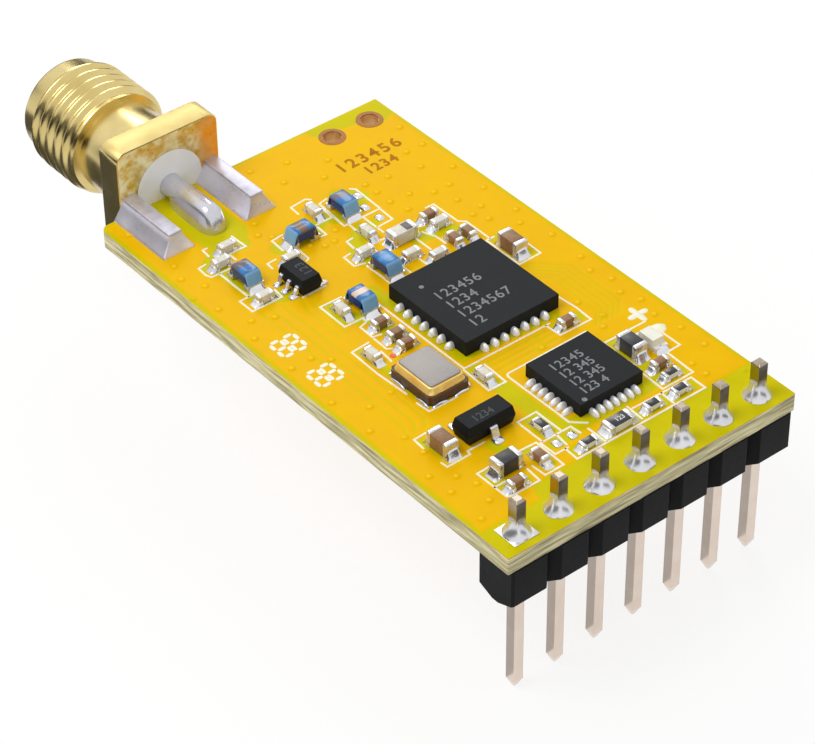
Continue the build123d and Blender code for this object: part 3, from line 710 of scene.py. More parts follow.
# Printed outlines round the parts
OUTLINES = [
    [(-5.9, 26.3), (-6.15, 26.3), (-6.2, 25.7)],
    [(-4.3, 26.3), (-4.24, 25.15), (-5.3, 25.2), (-5.3, 24.6)],
    [(-6.75, 25.25), (-7.2, 25.2), (-7.25, 24.5), (-7.1, 24.2), (-5.95, 24.2)],
    [(-6.63, 24.15), (-6.63, 21.75)],
    [(-6.3, 21.75), (-7.2, 21.72), (-7.2, 20.66), (-5.35, 20.66), (-5.28, 21.35)],
    [(-4.55, 19.97), (-3.15, 19.97)],
    [(-3.75, 23.3), (-4.3, 23.28), (-4.33, 22.8)],
    [(-2.25, 24.72), (-2.95, 24.66), (-3.0, 23.65)],
    [(-2.15, 23.6), (-2.35, 23.5), (-2.4, 22.3), (-2.6, 22.2)],
    [(-1.35, 23.42), (-0.48, 23.3), (-0.42, 24.1)],
    [(-0.52, 25.6), (-0.47, 26.3), (0.55, 26.4), (0.74, 26.2)],
    [(0.72, 25.2), (0.7, 24.28), (-0.35, 24.28)],
    [(1.4, 25.72), (0.85, 25.6), (0.78, 24.3), (0.68, 23.28), (3.05, 23.28), (3.12, 25.4), (2.9, 25.62)],
    [(3.02, 23.2), (2.97, 22.15), (1.95, 22.1)],
    [(1.9, 23.2), (1.9, 21.6)],
    [(0.95, 23.2), (0.92, 22.6)],
    [(0.35, 22.2), (-0.05, 22.15), (-0.1, 21.5)],
    [(-0.55, 21.25), (-0.98, 21.2), (-1.02, 20.3), (-0.45, 20.15)],
    [(-0.5, 19.9), (-0.48, 18.1)],
    [(0.95, 21.2), (1.75, 21.1)],
    [(2.85, 20.0), (2.85, 18.9)],
    [(3.45, 20.3), (3.75, 19.6), (3.75, 18.8)],
    [(4.9, 21.8), (5.4, 21.78), (5.44, 19.85), (5.75, 19.55), (5.75, 17.7)],
    [(0.85, 18.1), (0.85, 18.8), (1.9, 18.8), (1.9, 18.1)],
    [(-3.1, 18.75), (-4.4, 18.78), (-4.42, 16.76), (-3.3, 16.74), (-3.3, 16.4), (-3.85, 16.25),
     (-3.88, 15.25), (-3.4, 15.15)],
    [(-4.3, 15.05), (-5.4, 14.97), (-5.45, 12.9), (-5.33, 10.8)],
    [(-5.38, 9.95), (-5.3, 9.1), (-3.6, 9.08)],
    [(-4.25, 14.1), (-4.33, 13.2)],
    [(-3.9, 15.1), (-3.92, 14.1), (-3.7, 13.95)],
    [(-2.0, 17.5), (-1.97, 10.5), (3.5, 10.47)],
    [(3.28, 10.45), (3.34, 9.44), (5.33, 9.4), (5.38, 10.6), (5.25, 11.9)],
    [(6.0, 17.65), (5.5, 17.65), (5.5, 15.05), (6.95, 15.08), (6.97, 16.2)],
    [(-2.05, 10.4), (-2.12, 8.46), (-1.05, 8.44), (-1.0, 10.1)],
    [(4.45, 8.86), (-0.6, 8.84), (-0.72, 8.7), (-0.68, 4.25), (-0.05, 3.65)],
    [(7.25, 7.57), (4.55, 7.6), (4.4, 3.18), (6.4, 3.18), (6.45, 5.1), (7.33, 5.12), (7.33, 6.3)],
    [(-2.1, 2.9), (-2.15, 2.0), (6.05, 1.95), (6.05, 2.95), (2.3, 3.05)],
    [(-0.3, 3.3), (-0.28, 2.05)],
    [(2.2, 3.3), (2.15, 2.2)],
    [(4.15, 3.0), (4.1, 2.1)],
    [(-2.6, 4.0), (-2.6, 5.8), (-1.4, 5.8), (-1.38, 4.05)],
    [(-0.78, 3.3), (-0.85, 3.95), (-2.75, 3.95), (-2.72, 2.9), (-1.95, 2.9)],
    [(-1.75, 3.9), (-1.85, 3.1)],
    [(-3.9, 4.17), (-2.87, 4.12), (-2.9, 2.1), (-4.05, 2.1), (-4.1, 2.95)],
    [(-5.7, 4.22), (-6.45, 4.2), (-6.42, 2.1), (-6.2, 2.0), (-4.5, 1.98), (-4.42, 2.95)],
    [(-6.45, 2.95), (-5.8, 2.95)],
    [(-6.45, 8.0), (-7.18, 7.96), (-7.24, 7.2)],
    [(-7.24, 5.85), (-7.2, 5.46), (-5.8, 5.47), (-5.75, 5.72), (-4.75, 5.72)],
]
OUTLINE_HALF = 0.065
INK_RISE = 0.045
# A plus sign and a bar beside the lamp, each with half its width; every stroke lies a little
# higher than the one before, so that no two tops are level where they cross
LAMP_STROKES = [
    ([(6.95, 8.22), (7.8, 8.22)], 0.2),
    ([(7.37, 8.65), (7.37, 7.78)], 0.2),
    ([(7.05, 6.75), (7.4, 6.75)], 0.42),
]
STROKE_STEP = 0.004
STROKE_END_ANGLES = (0.15, 0.6, 1.05)
# Figures of seven bars, in two rows of two
FIGURE_PLACES = [(x, y) for y in (17.4, 14.45) for x in (-7.85, -7.05)]
FIGURE_WIDTH = 0.62
FIGURE_HEIGHT = 1.25
FIGURE_HALF = 0.13
RED_DOT = (-4.0, 13.5)
RED_DOT_RADIUS = 0.17


def stroke(bm, points, half, rise=INK_RISE):
    """A low rib along a line on the board, with mitred corners and round ends."""
    points = [Vector(p) for p in points]
    steps = [(b - a).normalized() for a, b in zip(points, points[1:])]
    stations = [(points[0] - steps[0] * half * math.cos(a), steps[0], half * math.sin(a))
                for a in STROKE_END_ANGLES]
    for i, point in enumerate(points):
        before = steps[max(i - 1, 0)]
        after = steps[min(i, len(steps) - 1)]
        along = (before + after).normalized()
        stations.append((point, along, half / max(0.4, along.dot(after))))
    stations += [(points[-1] + steps[-1] * half * math.cos(a), steps[-1], half * math.sin(a))
                 for a in reversed(STROKE_END_ANGLES)]
    rows = []
    for centre, along, reach in stations:
        side = Vector((-along.y, along.x)) * reach
        row = []
        for share, level in ((-1, 0), (-0.75, rise), (0.75, rise), (1, 0)):
            row.append((*(centre + side * share), BOARD_TOP + level))
        rows.append(row)
    add_loops(bm, rows)


def seven_bars(bm, x, y):
    """A figure with all seven bars, about its centre."""
    w, h = FIGURE_WIDTH / 2, FIGURE_HEIGHT / 2
    gap = 1.6 * FIGURE_HALF
    bars = [((-w + gap, v), (w - gap, v)) for v in (h, 0, -h)]
    for u in (-w, w):
        bars += [((u, h - gap), (u, gap)), ((u, -gap), (u, gap - h))]
    for bar in bars:
        stroke(bm, [(x + u, y + v) for u, v in bar], FIGURE_HALF)


def build_print():
    bm = bmesh.new()
    for line in OUTLINES:
        stroke(bm, line, OUTLINE_HALF)
    for i, (line, half) in enumerate(LAMP_STROKES):
        stroke(bm, line, half, INK_RISE + STROKE_STEP * i)
    for x, y in FIGURE_PLACES:
        seven_bars(bm, x, y)
    piece("board_print", bm, [INK], angle=50)


def add_dot(bm, x, y, radius, base, top, shoulder=1.0):
    """A flat dot, its top narrowed to a share of its radius."""
    lathe(bm, [(radius, base), (radius * shoulder, top), (0.001, top)], 24, x, y)


def build_red_dot():
    bm = bmesh.new()
    add_dot(bm, *RED_DOT, RED_DOT_RADIUS, BOARD_TOP, BOARD_TOP + INK_RISE + 0.01, 0.9)
    piece("red_ink_dot", bm, [RED_INK], angle=50)


build_print()
build_red_dot()

# Marks on the board and the chips: counting digits only. Each row has its digits, the place
# of their lower left corner, their height and their spacing.
DIGIT_SHARE = 0.73
DIGIT_DEPTH = 0.003
BOARD_MARK_LIFT = 0.026


def add_digits(bm, text, x, y, level, height, spacing, angle, weight):
    curve = bpy.data.curves.new("digits", "FONT")
    curve.body = text
    curve.size = height / DIGIT_SHARE
    curve.space_character = spacing
    curve.extrude = DIGIT_DEPTH
    curve.offset = weight
    obj = bpy.data.objects.new("digits", curve)
    bpy.context.scene.collection.objects.link(obj)
    mesh = bpy.data.meshes.new_from_object(obj.evaluated_get(bpy.context.evaluated_depsgraph_get()))
    mesh.transform(Matrix.Translation((x, y, level)) @ Matrix.Rotation(math.radians(angle), 4, "Z"))
    bm.from_mesh(mesh)
    bpy.data.objects.remove(obj)
    bpy.data.curves.remove(curve)
    bpy.data.meshes.remove(mesh)


def mark_piece(name, level, material, rows, dots=(), angle=0, weight=0.006):
    bm = bmesh.new()
    for text, x, y, height, spacing in rows:
        add_digits(bm, text, x, y, level, height, spacing, angle, weight)
    for x, y, radius in dots:
        add_dot(bm, x, y, radius, level - 0.01, level + 0.002)
    piece(name, bm, [material], angle=50)


def top_of(node):
    return node_box(node)[1].z


mark_piece("transceiver_marks", top_of("transceiver_body"), LASER_MARK, [
    ("123456", -0.22, 14.56, 0.64, 1.12),
    ("1234", -0.2, 13.66, 0.64, 1.12),
    ("1234567", -0.2, 12.76, 0.64, 1.1),
    ("12", -0.22, 11.86, 0.64, 1.12),
], [(-0.18, 15.96, 0.13)])
mark_piece("controller_marks", top_of("controller_body"), LASER_MARK, [
    ("12345", 0.6, 6.87, 0.56, 1.1),
    ("12 345", 0.6, 6.13, 0.56, 1.0),
    ("12 345", 0.6, 5.39, 0.56, 1.0),
    ("123 4", 0.6, 4.65, 0.56, 1.0),
], [(0.38, 4.36, 0.14)])
mark_piece("regulator_marks", top_of("regulator_body"), FAINT_MARK, [("1234", -4.95, 6.12, 0.46, 1.0)])
mark_piece("rf_switch_marks", top_of("rf_switch_body"), FAINT_MARK, [("123", -3.62, 20.25, 0.5, 1.1)],
           angle=90)
mark_piece("resistor_marks", top_of("coded_resistor"), RESISTOR_MARK, [("123", 0.72, 2.42, 0.28, 1.0)])
mark_piece("board_marks", BOARD_TOP + BOARD_MARK_LIFT, ETCHED_MARK, [
    ("123456", 3.4, 27.0, 0.82, 1.3),
    ("1234", 4.45, 26.0, 0.68, 1.2),
], weight=0.03)

# Two-terminal chips with rounded bodies and dipped end caps
CAPACITORS = [f"capacitor_{number:02d}" for number in range(1, 26)]
CREAM_CAPACITORS = CAPACITORS[:13]
LARGE_CAPACITORS = CAPACITORS[23:]
SMALL_CAP = 0.25
LARGE_CAP = 0.3
RESISTOR_CAP = 0.22
CAP_STEP = 0.02
CAP_EDGE = 0.07
BODY_EDGE = 0.035
GLAZE_EDGE = 0.02
GLAZE_MARGIN = 0.03
GLAZE_DEPTHS = (0.05, 0.005)


def drawn_in(low, high, along, ends, sides):
    """A box's corners, drawn in at its two ends and along its two sides."""
    low, high = low.copy(), high.copy()
    for axis, amount in ((along, ends), (1 - along, sides)):
        low[axis] += amount
        high[axis] -= amount
    return low, high


def build_chip(node, body, cap, glaze=None):
    bm = bmesh.new()
    for low, high in solids(node):
        along = long_axis(low, high)
        body_low, body_high = drawn_in(low, high, along, cap / 2, CAP_STEP)
        body_high.z -= CAP_STEP
        add_box(bm, body_low, body_high, BODY_EDGE)
        for first in (True, False):
            cap_low, cap_high = low.copy(), high.copy()
            if first:
                cap_high[along] = low[along] + cap
            else:
                cap_low[along] = high[along] - cap
            add_box(bm, cap_low, cap_high, CAP_EDGE, 3, 1)
        if glaze:
            glaze_low, glaze_high = drawn_in(low, high, along, cap * 0.9, GLAZE_MARGIN)
            glaze_low.z, glaze_high.z = (high.z - depth for depth in GLAZE_DEPTHS)
            add_box(bm, glaze_low, glaze_high, GLAZE_EDGE, 2, 2)
    materials = [body, END_CAP, glaze] if glaze else [body, END_CAP]
    piece(node + "_detail", bm, materials, [node])


for node in CAPACITORS:
    build_chip(node, CREAM if node in CREAM_CAPACITORS else BROWN,
               LARGE_CAP if node in LARGE_CAPACITORS else SMALL_CAP)
build_chip("chip_resistors", ALUMINA, RESISTOR_CAP, GLAZE)
build_chip("coded_resistor", ALUMINA, LARGE_CAP, GLAZE)
build_chip("supply_ferrite", FERRITE, LARGE_CAP)
build_chip("indicator_ferrite", FERRITE, LARGE_CAP)
build_chip("antenna_filter", CREAM, LARGE_CAP)

# Solder of the small parts: hollow fillets at the ends, rounded blobs at the chips
FILLET_HOLLOW = 1.9
FILLET_RIPPLE = 0.006
LEAD_FOOT = 0.3
# Pads with nothing fitted on them, and the half sizes of their solder
SPARE_PADS = [(-1.2, 3.45), (-2.15, 3.45), (2.55, 22.7), (2.85, 24.9), (2.5, 23.85)]
SPARE_PAD = (0.24, 0.3)


def place_on(x, y, angle=0.0):
    """The place of a joint on the board, its X axis pointing away from the part."""
    return Matrix.Translation((x, y, BOARD_TOP)) @ Matrix.Rotation(angle, 4, "Z")


def fillet(bm, place, half, under, reach, rise):
    """A hollow fillet: high at the part, thin at the pad's edge, rounded in plan."""
    across, along = 8, 7
    grid = []
    for j in range(-1, along + 1):
        t = max(0, j) / along
        row = []
        for i in range(across + 1):
            v = 2 * i / across - 1
            side = half * v * (1 - 0.1 * t * t)
            out = -under + (under + reach) * (0 if j < 0 else 0.02 + 0.98 * t)
            out -= 0.12 * reach * abs(v) ** 3 * t
            climb = rise * max(0.0, 1 - max(0.0, out) / reach) ** FILLET_HOLLOW
            ripple = rng.uniform(-FILLET_RIPPLE, FILLET_RIPPLE)
            level = PAD + climb * (1 - 0.3 * abs(v) ** 3) + ripple
            if j < 0 or j == along or i in (0, across):
                level = 0.0
            row.append(place @ Vector((out, side, level)))
        grid.append(row)
    add_loops(bm, grid, closed=False, caps=False)


def blob(bm, place, half_x, half_y, height, squareness):
    """A rounded drop of solder: a flattened dome with a soft oblong outline."""
    rings = []
    for k in range(6):
        lift = math.pi / 2 * k / 5.3
        ring = []
        for c in around(20):
            x = bulged(c.x, 2 / squareness) * half_x * math.cos(lift)
            y = bulged(c.y, 2 / squareness) * half_y * math.cos(lift)
            ring.append(place @ Vector((x, y, height * math.sin(lift))))
        rings.append(ring)
    add_loops(bm, rings)


def chip_ends(bm, node, rise_share, side=0.05, reach=0.3, under=0.28):
    """Fillets at both ends of every two-terminal part of a node."""
    for low, high in solids(node):
        size = high - low
        middle = (low + high) / 2
        along = long_axis(low, high)
        for sign in (-1, 1):
            end = middle.copy()
            end[along] += sign * size[along] / 2
            angle = (0 if sign > 0 else math.pi) + along * math.pi / 2
            half = size[1 - along] / 2 + side
            fillet(bm, place_on(end.x, end.y, angle), half, under, reach, size.z * rise_share)


def terminal_blobs(bm, chip, out, half_x, half_y, height):
    """A drop of solder at the outer end of each terminal of a leadless chip."""
    low, high = node_box(chip + "_body")
    centre = (low + high) / 2
    edge = (high.x - low.x) / 2
    for terminal_low, terminal_high in solids(chip + "_terminals"):
        away = (terminal_low + terminal_high) / 2 - centre
        along = 0 if abs(away.x) > abs(away.y) else 1
        angle = along * math.pi / 2 + (math.pi if away[along] < 0 else 0)
        place = place_on(centre.x, centre.y, angle)
        shift = place.inverted() @ (centre + away)
        place = place @ Matrix.Translation((edge + out, shift.y, 0))
        blob(bm, place, half_x * rng.uniform(0.92, 1.05), half_y * rng.uniform(0.95, 1.05),
             height * rng.uniform(0.9, 1.05), squareness=2.4)


def lead_pads(bm, node, along):
    """Solder round the foot of each gull-wing lead, the leads pointing along one axis."""
    leads = solids(node)
    centre = sum((low + high for low, high in leads), Vector()) / (2 * len(leads))
    for low, high in leads:
        foot = (low + high) / 2
        half = [(side / 2 + 0.09) for side in high - low]
        half[along] = LEAD_FOOT / 2 + 0.15
        if foot[along] > centre[along]:
            foot[along] = high[along] - LEAD_FOOT / 2
        else:
            foot[along] = low[along] + LEAD_FOOT / 2
        blob(bm, place_on(foot.x, foot.y), half[0], half[1], height=0.2, squareness=4.0)


def crystal_pads(bm):
    """Solder that shows round the four corners of the crystal's base."""
    low, high = node_box("crystal_base")
    for x, y, half_x, half_y in (
        (low.x - 0.06, high.y - 0.75, 0.09, 0.6),
        (low.x - 0.06, low.y + 0.55, 0.09, 0.5),
        (low.x + 0.55, low.y - 0.06, 0.5, 0.1),
        (high.x - 0.6, low.y - 0.06, 0.5, 0.1),
        (high.x + 0.04, high.y - 0.6, 0.08, 0.5),
        (high.x + 0.04, low.y + 0.5, 0.08, 0.45),
        (low.x + 0.5, high.y + 0.06, 0.45, 0.08),
        (high.x - 0.5, high.y + 0.06, 0.45, 0.08),
    ):
        blob(bm, place_on(x, y), half_x, half_y, height=0.17, squareness=5.0)


def build_component_solder():
    bm = bmesh.new()
    for node in CAPACITORS:
        chip_ends(bm, node, rise_share=0.62)
    chip_ends(bm, "chip_resistors", rise_share=0.8, reach=0.26)
    chip_ends(bm, "coded_resistor", rise_share=0.75)
    for node in ("supply_ferrite", "indicator_ferrite", "antenna_filter"):
        chip_ends(bm, node, rise_share=0.6)
    chip_ends(bm, "inductor_cores", rise_share=0.34, side=0.0, reach=0.28, under=0.3)
    chip_ends(bm, "led_base", rise_share=0.9, side=0.02)
    lead_pads(bm, "rf_switch_leads", 0)
    lead_pads(bm, "regulator_leads", 1)
    for x, y in SPARE_PADS:
        blob(bm, place_on(x, y), *SPARE_PAD, height=0.13, squareness=3.2)
    crystal_pads(bm)
    piece("component_solder_detail", bm, [SOLDER], ["component_solder"], angle=180)


def build_terminal_solder():
    bm = bmesh.new()
    terminal_blobs(bm, "transceiver", out=0.15, half_x=0.32, half_y=0.2, height=0.42)
    terminal_blobs(bm, "controller", out=0.22, half_x=0.4, half_y=0.165, height=0.36)
    piece("terminal_solder", bm, [DROP_SOLDER], angle=180)


build_component_solder()
build_terminal_solder()


# Header solder
CONE_STEPS = 48
CONE_ROWS = 12
CONE_HOLLOW = 2.1
CONE_LIP = 0.03
CONE_LEAN = 0.04
CONE_TIP = 0.2
CONE_NECK_SHARE = 1.36
CONE_SWELL = 0.03
SQUARE_PAD_RISE = 0.05


def build_header_solder():
    """Cones drawn hollow by surface tension, each a little different; the first pad is square."""
    bm = bmesh.new()
    low, high = node_box("header_solder")
    foot = (high.y - low.y) / 2
    rise = high.z - BOARD_TOP
    circle = around(CONE_STEPS)
    for index, (pin_low, pin_high) in enumerate(solids("header_pins")):
        x = (pin_low.x + pin_high.x) / 2
        neck = (pin_high.x - pin_low.x) / 2 * CONE_NECK_SHARE
        lean = Vector((rng.uniform(-CONE_LEAN, CONE_LEAN), rng.uniform(-CONE_LEAN, CONE_LEAN)))
        rings = [[Vector((x + foot * c.x, foot * c.y, BOARD_TOP)) for c in circle]]
        for j in range(CONE_ROWS + 1):
            t = j / CONE_ROWS
            radius = neck + (foot - neck) * (1 - t) ** CONE_HOLLOW
            level = BOARD_TOP + CONE_LIP + (rise - CONE_LIP) * t
            centre = Vector((x, 0)) + lean * (t * (1 - t))
            ring = []
            for k, c in enumerate(circle):
                swell = 1 + CONE_SWELL * math.sin(2 * TURN * k / CONE_STEPS + index) * (1 - t)
                ring.append(Vector((*(centre + c * (radius * swell)), level)))
            rings.append(ring)
        rings.append([Vector((x + CONE_TIP * c.x, CONE_TIP * c.y, high.z)) for c in circle])
        add_loops(bm, rings, caps=False)
        if index == 0:
            top = BOARD_TOP + SQUARE_PAD_RISE
            add_box(bm, (x - foot, -foot, BOARD_TOP), (x + foot, foot, top), 0.02)
    piece("header_solder_detail", bm, [CONE_SOLDER], ["header_solder"], angle=60)


build_header_solder()

# Solder of the coax jack: sloping banks round the legs, a round-nosed coat on the tail.
# Pairs are the values at the bank's foot and at its head.
BANK_HALVES = (LEG_HALF + 0.62, LEG_HALF + 0.02)
BANK_TOES = (LEG_NEAR - 0.3, LEG_NEAR - 0.02)
BANK_CORNERS = (0.12, 0.06)
BANK_RISE = 1.0
BANK_LIP = 0.03
BANK_HOLLOW = 1.25
BANK_ROWS = 8
CORNER_STEPS = 7
TAIL_NOSE = 0.45
TAIL_STEPS = 24
# Sections of the coat from its nose on: place, half width and height
TAIL_SECTIONS = [
    (0, 0.05, 0.02), (0.03, 0.3, 0.26), (0.12, 0.46, 0.58), (0.26, 0.58, 0.9), (0.45, 0.66, 1.16),
    (0.68, 0.72, 1.36), (1.0, 0.75, 1.39), (1.6, 0.755, 1.39), (2.4, 0.745, 1.38), (3.1, 0.71, 1.37),
    (3.5, 0.66, 1.34),
]


def leg_outline(x, half, toe, corner, level):
    """A bank's outline from the board's edge round its toe and back again."""
    middle = (toe + FLANGE_NEAR) / 2
    points = [(x - half, FLANGE_NEAR), (x - half, middle)]
    for side, start in ((-1, math.pi), (1, 1.5 * math.pi)):
        centre = x + side * (half - corner)
        for i in range(CORNER_STEPS + 1):
            a = start + math.pi / 2 * i / CORNER_STEPS
            points.append((centre + corner * math.cos(a), toe + corner + corner * math.sin(a)))
    points += [(x + half, middle), (x + half, FLANGE_NEAR)]
    return [Vector((*point, level)) for point in points]


def bank(bm, x, base, up):
    """A bank of solder at a leg, going up from the board or down from it."""
    outlines = [leg_outline(x, BANK_HALVES[0], BANK_TOES[0], BANK_CORNERS[0], base)]
    for j in range(BANK_ROWS + 1):
        t = j / BANK_ROWS
        share = (1 - t) ** BANK_HOLLOW
        half, toe, corner = (head + (foot - head) * share
                             for foot, head in (BANK_HALVES, BANK_TOES, BANK_CORNERS))
        outlines.append(leg_outline(x, half, toe, corner, base + up * (BANK_LIP + BANK_RISE * t)))
    head = BANK_HALVES[1]
    level = base + up * (BANK_LIP + BANK_RISE)
    outlines.append(leg_outline(x, head * 0.4, BANK_TOES[1] + head * 0.6, head * 0.3, level))
    if up < 0:
        outlines = [list(reversed(outline)) for outline in outlines]
    add_loops(bm, outlines, closed=False, caps=False)


def tail_coat(bm):
    """The coat of solder over the contact's tail."""
    nose = node_box("coax_contact")[0].y - TAIL_NOSE
    sections = []
    for out, half, height in TAIL_SECTIONS:
        section = []
        for i in range(TAIL_STEPS + 1):
            a = math.pi * i / TAIL_STEPS
            side = bulged(math.cos(a), 0.8) * half
            level = BOARD_TOP + height * math.sin(a) ** 0.85
            section.append(Vector((JACK_X + side, nose + out, level)))
        sections.append(section)
    add_loops(bm, sections, closed=False, caps=False, material=1)


def build_coax_solder():
    bm = bmesh.new()
    for x in (JACK_X - LEG_CENTRE, JACK_X + LEG_CENTRE):
        bank(bm, x, BOARD_TOP, 1)
        bank(bm, x, BOARD_BOTTOM, -1)
    tail_coat(bm)
    piece("coax_solder_detail", bm, [LEG_SOLDER, TAIL_SOLDER], ["coax_solder"], angle=60)


build_coax_solder()

# Inductors: turns of wire on the bar, a striped cover over the top
WIRE_RADIUS = 0.055
WIRE_TURNS = 7
WIRE_SIDES = 6
TURN_STEPS = 24
TURN_HALF_WIDTH = 0.32
TURN_HALF_HEIGHT = 0.22
COVER_EDGE = 0.07
COVER_SLOPE = 0.2
COVER_HEM = 0.04
# The stripe of each cover, taken from left to right: its colour, and where it starts and
# ends along the cover
STRIPES = [
    ((104, 96, 108), 0.55, 1.0),
    ((222, 196, 178), 0.42, 0.66),
    ((118, 92, 80), 0.3, 0.62),
    ((66, 140, 200), 0.4, 0.6),
    ((112, 112, 128), 0.52, 0.8),
]


def lengthwise(low, high, level):
    """The middle of a box at a level, its X axis turned to the box's long side."""
    middle = (low + high) / 2
    turned = Matrix.Rotation(math.pi / 2 * long_axis(low, high), 4, "Z")
    return Matrix.Translation((middle.x, middle.y, level)) @ turned


def wire_turn(x):
    """One rounded rectangular turn of wire, as rings round the wire."""
    rings = []
    for c in around(TURN_STEPS):
        centre = Vector((x, bulged(c.x, 0.5) * TURN_HALF_WIDTH, bulged(c.y, 0.5) * TURN_HALF_HEIGHT))
        out = Vector((0, c.x, c.y)) * WIRE_RADIUS
        aside = Vector((WIRE_RADIUS, 0, 0))
        rings.append([centre + out * d.x + aside * d.y for d in around(WIRE_SIDES)])
    return rings + rings[:1]


def build_windings():
    bm = bmesh.new()
    for low, high in solids("inductor_windings"):
        place = lengthwise(low, high, (low.z + high.z) / 2)
        length = (high - low)[long_axis(low, high)] - 2 * WIRE_RADIUS
        for turn in range(WIRE_TURNS):
            rings = wire_turn(length * (turn / (WIRE_TURNS - 1) - 0.5))
            add_loops(bm, [[place @ point for point in ring] for ring in rings], caps=False)
    piece("inductor_windings_detail", bm, [WIRE], ["inductor_windings"], angle=80)


def cover_rows(half_length, half_width, bottom, top):
    """Rows across a cover, from one end over its rounded shoulders to the other."""
    shoulder = [
        (half_length, bottom),
        (half_length - 0.03, bottom + 0.12),
        (half_length - COVER_SLOPE * 0.85, top - 0.1),
        (half_length - COVER_SLOPE * 1.1, top - 0.02),
        (half_length - COVER_SLOPE * 1.5, top),
        (half_length * 0.4, top),
    ]
    profile = [(-x, z) for x, z in shoulder] + [(0, top)] + list(reversed(shoulder))
    rows = []
    for x, z in profile:
        at_end = abs(x) > half_length - COVER_SLOPE * 0.9
        skirt = bottom if at_end else bottom + COVER_HEM
        side = [
            (half_width, skirt),
            (half_width, max(skirt, z - 0.2)),
            (half_width, max(skirt, z - COVER_EDGE)),
            (half_width - COVER_EDGE * 0.3, z - COVER_EDGE * 0.3),
            (half_width - COVER_EDGE, z),
        ]
        row = [(-y, level) for y, level in side] + [(0, z)] + list(reversed(side))
        rows.append([Vector((x, y, level)) for y, level in row])
    return rows


def build_covers():
    bm = bmesh.new()
    along_layer = bm.verts.layers.float.new("along")
    depth_layer = bm.verts.layers.float.new("depth")
    for index, (low, high) in enumerate(solids("inductor_covers")):
        size = high - low
        along = long_axis(low, high)
        place = lengthwise(low, high, 0)
        rows = cover_rows(size[along] / 2, size[1 - along] / 2, low.z, high.z)
        skin = [[place @ point for point in row] for row in rows]
        made = add_loops(bm, skin, closed=False, caps=False, material=index)
        for vertices, points in zip(made, rows):
            crown = max(point.z for point in points)
            for vertex, point in zip(vertices, points):
                vertex[along_layer] = point.x / size[along] + 0.5
                vertex[depth_layer] = crown - point.z
    materials = [cover_finish(f"cover_{number}", *stripe) for number, stripe in enumerate(STRIPES, 1)]
    piece("inductor_covers_detail", bm, materials, ["inductor_covers"], angle=50)


build_windings()
build_covers()

# Crystal: a narrow sloping ring under a lid that almost covers it. Each step of a profile
# has its inset from the ring's outline, its level and its corner radius.
RING_FOOT_STEPS = [(0, 0, 0.3), (0, 0.06, 0.3), (0.03, 0.09, 0.3)]
RING_TOP_STEPS = [(0.08, -0.06, 0.28), (0.1, -0.02, 0.27), (0.13, 0, 0.25)]
LID_FOOT_STEPS = [(0.17, -0.01, 0.2)]
LID_TOP_STEPS = [(0.17, -0.03, 0.2), (0.19, -0.006, 0.19), (0.22, 0, 0.18)]


def crystal_outline(inset, corner, level):
    """A rounded rectangle inside the outline of the crystal's ring."""
    low, high = node_box("crystal_seal_ring")
    middle = (low + high) / 2
    reach = (high - low) / 2 - Vector((inset + corner, inset + corner, 0))
    points = []
    for sx, sy, start in ((1, 1, 0), (-1, 1, 90), (-1, -1, 180), (1, -1, 270)):
        for i in range(7):
            a = math.radians(start + 15 * i)
            x = middle.x + sx * reach.x + corner * math.cos(a)
            y = middle.y + sy * reach.y + corner * math.sin(a)
            points.append(Vector((x, y, level)))
    return points


def build_crystal_layer(node, material, foot_steps, top_steps):
    """The ring or the lid, its steps counted from the bottom and the top of its node."""
    low, high = node_box(node)
    loops = [crystal_outline(inset, corner, low.z + rise) for inset, rise, corner in foot_steps]
    loops += [crystal_outline(inset, corner, high.z + rise) for inset, rise, corner in top_steps]
    bm = bmesh.new()
    add_loops(bm, loops)
    piece(node + "_detail", bm, [material], [node], angle=50)


def build_filter_mark():
    """The dark square printed at one end of the filter."""
    low, high = node_box("antenna_filter")
    mark_low = (low.x + 0.9, low.y + 0.08, high.z - 0.01)
    mark_high = (low.x + 1.28, high.y - 0.12, high.z + 0.006)
    bm = bmesh.new()
    add_box(bm, mark_low, mark_high, 0.004)
    piece("filter_mark", bm, [FILTER_MARK])


build_crystal_layer("crystal_seal_ring", RING_GOLD, RING_FOOT_STEPS, RING_TOP_STEPS)
build_crystal_layer("crystal_lid", LID, LID_FOOT_STEPS, LID_TOP_STEPS)
build_filter_mark()

# Finishes of the CAD nodes that are shown as they are
SHOWN = {
    "circuit_board": laminate_finish(),
    "hole_eyelets": COPPER,
    "header_housing": BLACK_PLASTIC,
    "header_pins": pin_finish(),
    "coax_insulator": FLUOR,
    "coax_contact": SOLDER,
    "transceiver_body": MOULD,
    "transceiver_terminals": SOLDER,
    "controller_body": MOULD,
    "controller_terminals": SOLDER,
    "rf_switch_body": MOULD,
    "rf_switch_leads": SOLDER,
    "regulator_body": MOULD,
    "regulator_leads": SOLDER,
    "crystal_base": BASE_DARK,
    "inductor_cores": END_CAP,
    "led_base": LAMP_WHITE,
    "led_lens": LENS,
}
for node, material in SHOWN.items():
    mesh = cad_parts[node].data
    mesh.materials.clear()
    mesh.materials.append(material)

# Camera
CAMERA_PLACE = (-77.07, -79.01, 100.44)
CAMERA_AIM = (0.4804, 0.6008, -0.639)
CAMERA_ROLL = -0.76
CAMERA_LENS = 137.77

scene = bpy.context.scene
scene.view_settings.view_transform = "Standard"


def aimed(direction, axis="-Z"):
    """The turn that points an object's own axis along a direction."""
    return Vector(direction).to_track_quat(axis, "Y")


